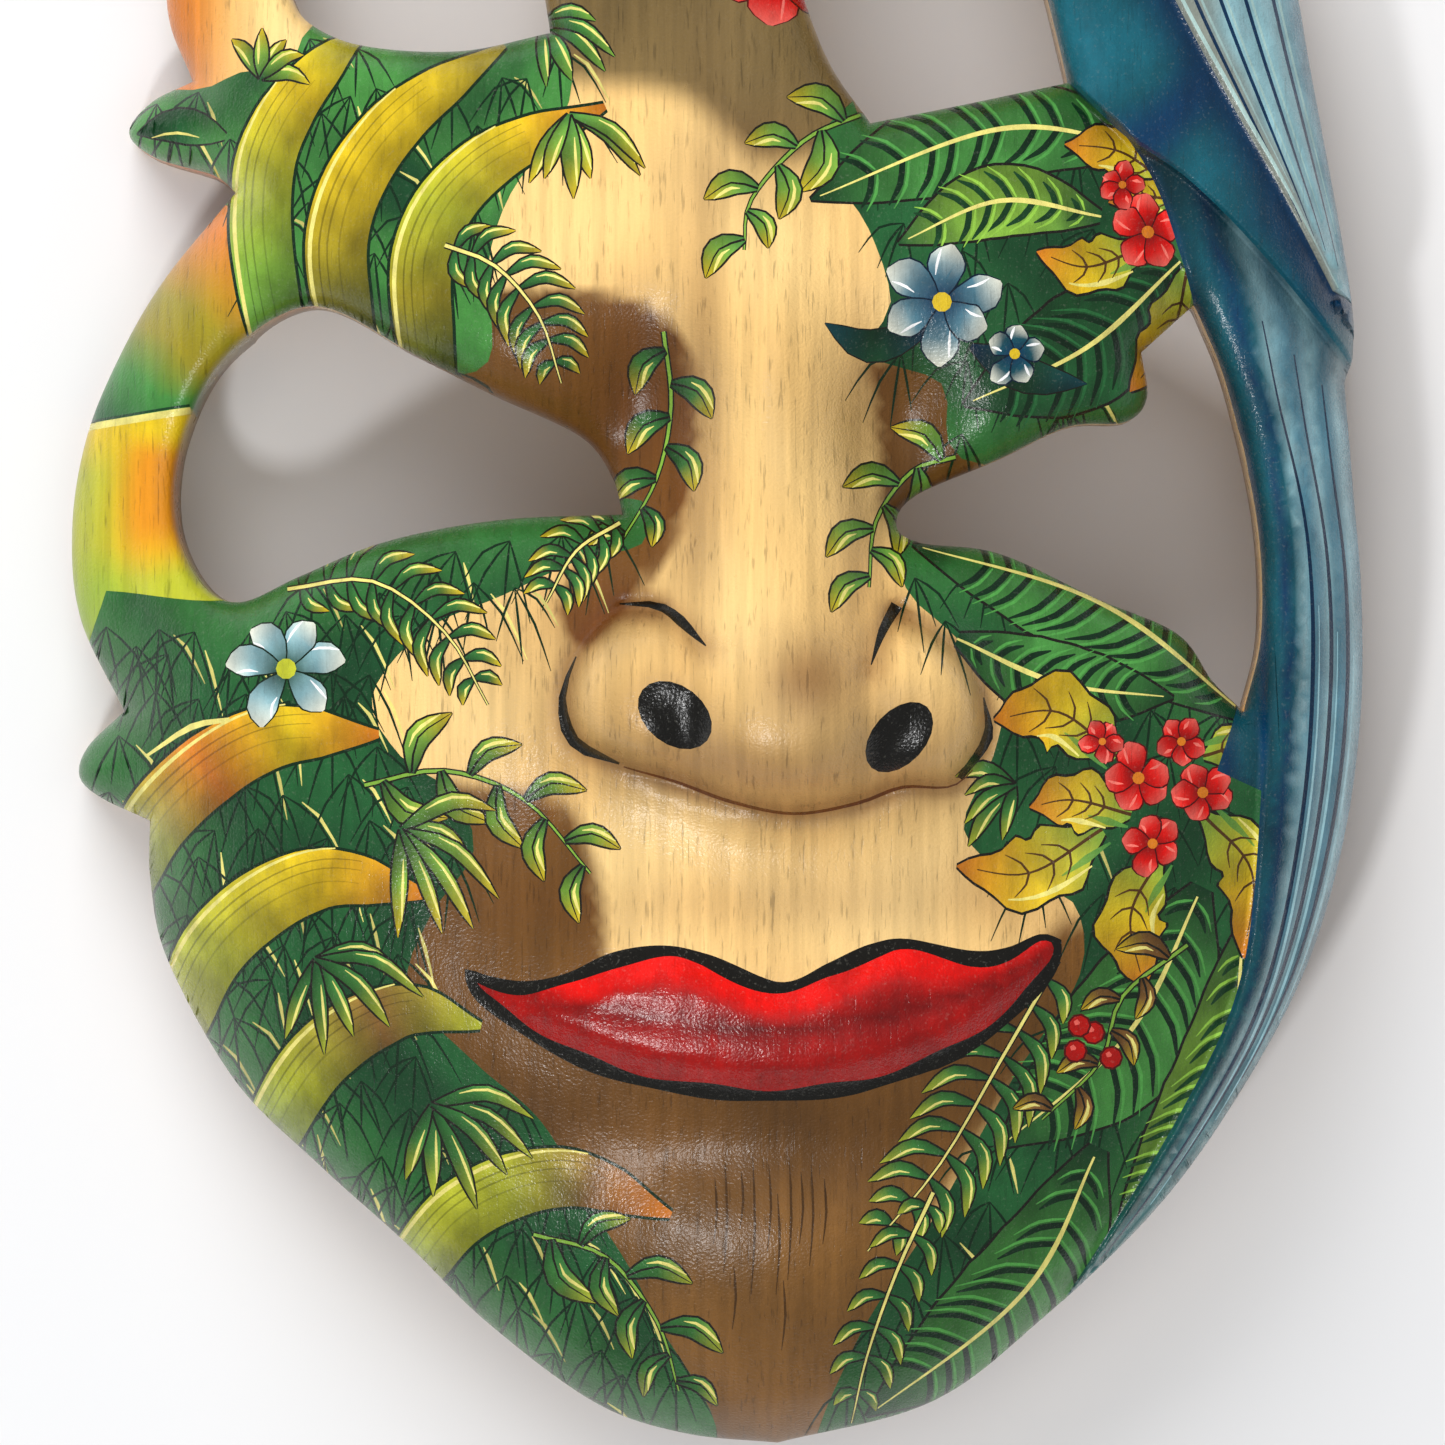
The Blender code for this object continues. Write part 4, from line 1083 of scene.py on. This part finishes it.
# The back is bare
back_colours = np.tile(BARE_WARM * 0.85, (back_faces.size, 1))
all_colours = np.vstack([colours, back_colours, side_colours])
all_shows = np.concatenate([shows, np.ones(back_faces.size), np.tile((0.5, 0.5, 1, 1), len(side_faces))])
paint = mask_mesh.color_attributes.new("paint", "FLOAT_COLOR", "CORNER")
opaque = np.column_stack([all_colours, np.ones(len(all_colours))])
paint.data.foreach_set("color", opaque.astype(np.float32).ravel())
wood = mask_mesh.attributes.new("wood_showing", "FLOAT", "CORNER")
wood.data.foreach_set("value", all_shows.astype(np.float32))

# Thin facets would catch the light, so the front takes its normals from the carving itself
REACH = 0.12
EDGE_BAND = 0.25
slopes = []
for off in np.eye(2) * REACH:
    after, before = (front_height(near, edge_distance(near)) for near in (front_flat + off, front_flat - off))
    slopes.append((after - before) / (2 * REACH * STEP))
normals = unit(np.column_stack([-slopes[0], -slopes[1], np.ones(len(front_flat))]))
own = np.zeros(len(mask_mesh.loops) * 3, np.float32)
mask_mesh.corner_normals.foreach_get("vector", own)
own = own.reshape(-1, 3)
inner = front_gap[front_corners] > EDGE_BAND
own[:len(spots)][inner] = normals[front_corners][inner]
mask_mesh.normals_split_custom_set(own.tolist())

# The finish. Hand-mixed colour over the grain of the wood, a little uneven from the brush, under a
# semi-gloss varnish that is brushed on last and shows the pores as fine sparkle.

finish = bpy.data.materials.new("painted_wood")
finish.use_nodes = True
nodes, links = finish.node_tree.nodes, finish.node_tree.links
shader = nodes["Principled BSDF"]


class Wire:
    """A node's output that can be used in sums, which add Math nodes."""

    def __init__(self, socket):
        self.socket = socket

    def __add__(self, other):
        return maths("ADD", self, other)

    def __sub__(self, other):
        return maths("SUBTRACT", self, other)

    def __rsub__(self, other):
        return maths("SUBTRACT", other, self)

    def __mul__(self, other):
        return maths("MULTIPLY", self, other)

    __radd__ = __add__
    __rmul__ = __mul__


def node(kind, settings, values, output=0):
    """A node with its settings, then the values or wires of its sockets by number or name."""
    made = nodes.new(kind)
    for name, value in settings.items():
        setattr(made, name, value)
    for place, value in values.items():
        if isinstance(value, Wire):
            links.new(value.socket, made.inputs[place])
        else:
            made.inputs[place].default_value = value
    return Wire(made.outputs[output])


def maths(operation, first, second):
    return node("ShaderNodeMath", {"operation": operation}, {0: first, 1: second})


def tinted(colour, factor):
    """The colour times a number that changes over the surface."""
    return node("ShaderNodeVectorMath", {"operation": "SCALE"}, {0: colour, 3: factor})


def noise(vector, scale, detail, roughness):
    return node("ShaderNodeTexNoise", {}, {
        "Vector": vector, "Scale": scale, "Detail": detail, "Roughness": roughness})


def along_grain(scale, detail, roughness):
    """Noise that is stretched the way the wood grows, from chin to crown."""
    return noise(node("ShaderNodeMapping", {}, {"Vector": place, "Scale": scale}), 1.0, detail, roughness)


def share_between(wire, low, high):
    return node("ShaderNodeMapRange", {"clamp": True}, {0: wire, 1: low, 2: high, 3: 0.0, 4: 1.0})


place = node("ShaderNodeTexCoord", {}, {}, "Object")
colour = node("ShaderNodeAttribute", {"attribute_name": "paint"}, {}, "Color")
bare = node("ShaderNodeAttribute", {"attribute_name": "wood_showing"}, {}, "Fac")
grain = along_grain((620, 22, 60), 4.0, 0.6)
bands = along_grain((70, 7, 20), 3.0, 0.5)
pores = along_grain((2600, 230, 400), 2.0, 0.5)
brush = along_grain((420, 240, 240), 4.0, 0.65)
sparkle = noise(place, 2400.0, 1.0, 0.5)
specks = noise(place, 2100.0, 2.0, 0.6)
ripple = noise(place, 240.0, 3.0, 0.55)

streaks = share_between(grain, 0.38, 0.62)
dark_pores = share_between(pores, 0.60, 0.72)
brush_marks = share_between(brush, 0.3, 0.7)
wood_tone = 1.06 - bare * (0.15 * streaks + 0.12 * share_between(bands, 0.3, 0.7) + 0.26 * dark_pores)
paint_tone = 1.10 - (1 - bare) * (0.42 * brush_marks) - 0.06 * streaks - 0.08 * dark_pores
flecks = (1 - bare * 0.7) * share_between(specks, 0.60, 0.76)
flecked = node("ShaderNodeMix", {"data_type": "RGBA"}, {
    0: 0.10 * flecks, 6: tinted(tinted(colour, wood_tone), paint_tone), 7: (0.62, 0.60, 0.50, 1)}, 2)
height = ripple * 0.3 + sparkle * 0.6 - dark_pores * 0.15 - streaks * 0.08
bumped = node("ShaderNodeBump", {}, {"Strength": 0.65, "Distance": 0.00022, "Height": height}, "Normal")
roughness = 0.20 + 0.10 * brush_marks + 0.06 * bare
for name, wire in (("Base Color", flecked), ("Roughness", roughness), ("Normal", bumped)):
    links.new(wire.socket, shader.inputs[name])
for name, value in (("Coat Weight", 0.06), ("Coat Roughness", 0.3), ("Specular IOR Level", 0.42)):
    shader.inputs[name].default_value = value

mask = bpy.data.objects.new("carved_mask", mask_mesh)
bpy.context.scene.collection.objects.link(mask)
mask_mesh.materials.append(finish)
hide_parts("mask")
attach(mask, "root")

# The table, the lamps and the camera. A pale matt table under plain soft light from above the brow and
# overhead, with one small lamp that glints on the varnish. The camera looks straight down at the face.

bpy.ops.mesh.primitive_plane_add(size=6, location=(0, 0, 0))
table = bpy.context.object
table.name = "table"
pale = bpy.data.materials.new("pale_table")
pale.use_nodes = True
pale_shader = pale.node_tree.nodes["Principled BSDF"]
pale_shader.inputs["Base Color"].default_value = (0.82, 0.82, 0.83, 1)
pale_shader.inputs["Roughness"].default_value = 0.7
table.data.materials.append(pale)
AIM = Vector((0, -0.02, 0.03))


def lamp(name, place, size, power, glossy=False):
    light = bpy.data.lights.new(name, "AREA")
    light.size = size
    light.energy = power
    made = bpy.data.objects.new(name, light)
    bpy.context.scene.collection.objects.link(made)
    made.location = place
    made.visible_glossy = glossy
    made.rotation_euler = (AIM - Vector(place)).to_track_quat("-Z", "Y").to_euler()


lamp("window", (-0.35, 0.95, 0.85), 0.9, 14)
lamp("fill", (0.1, -0.1, 1.9), 1.8, 10.5)
lamp("glint", (-0.40, -0.72, 1.1), 0.13, 6, True)
world = bpy.data.worlds.new("studio")
world.use_nodes = True
sky = world.node_tree.nodes["Background"]
sky.inputs["Color"].default_value = (0.95, 0.97, 1.0, 1)
sky.inputs["Strength"].default_value = 0.28
bpy.context.scene.world = world
bpy.context.scene.view_settings.view_transform = "Standard"

CAMERA_HEIGHT = 1.6
FOCUS_HEIGHT = 0.015
VIEW_WIDTH = 0.2023
VIEW_CENTRE = (np.array((-5.95, 100.6)) - middle) * STEP
camera = bpy.data.objects.new("camera", bpy.data.cameras.new("camera"))
bpy.context.scene.collection.objects.link(camera)
camera.location = (*VIEW_CENTRE, CAMERA_HEIGHT)
camera.data.lens = camera.data.sensor_width * (CAMERA_HEIGHT - FOCUS_HEIGHT) / VIEW_WIDTH
camera.data.clip_start = 0.05
bpy.context.scene.camera = camera
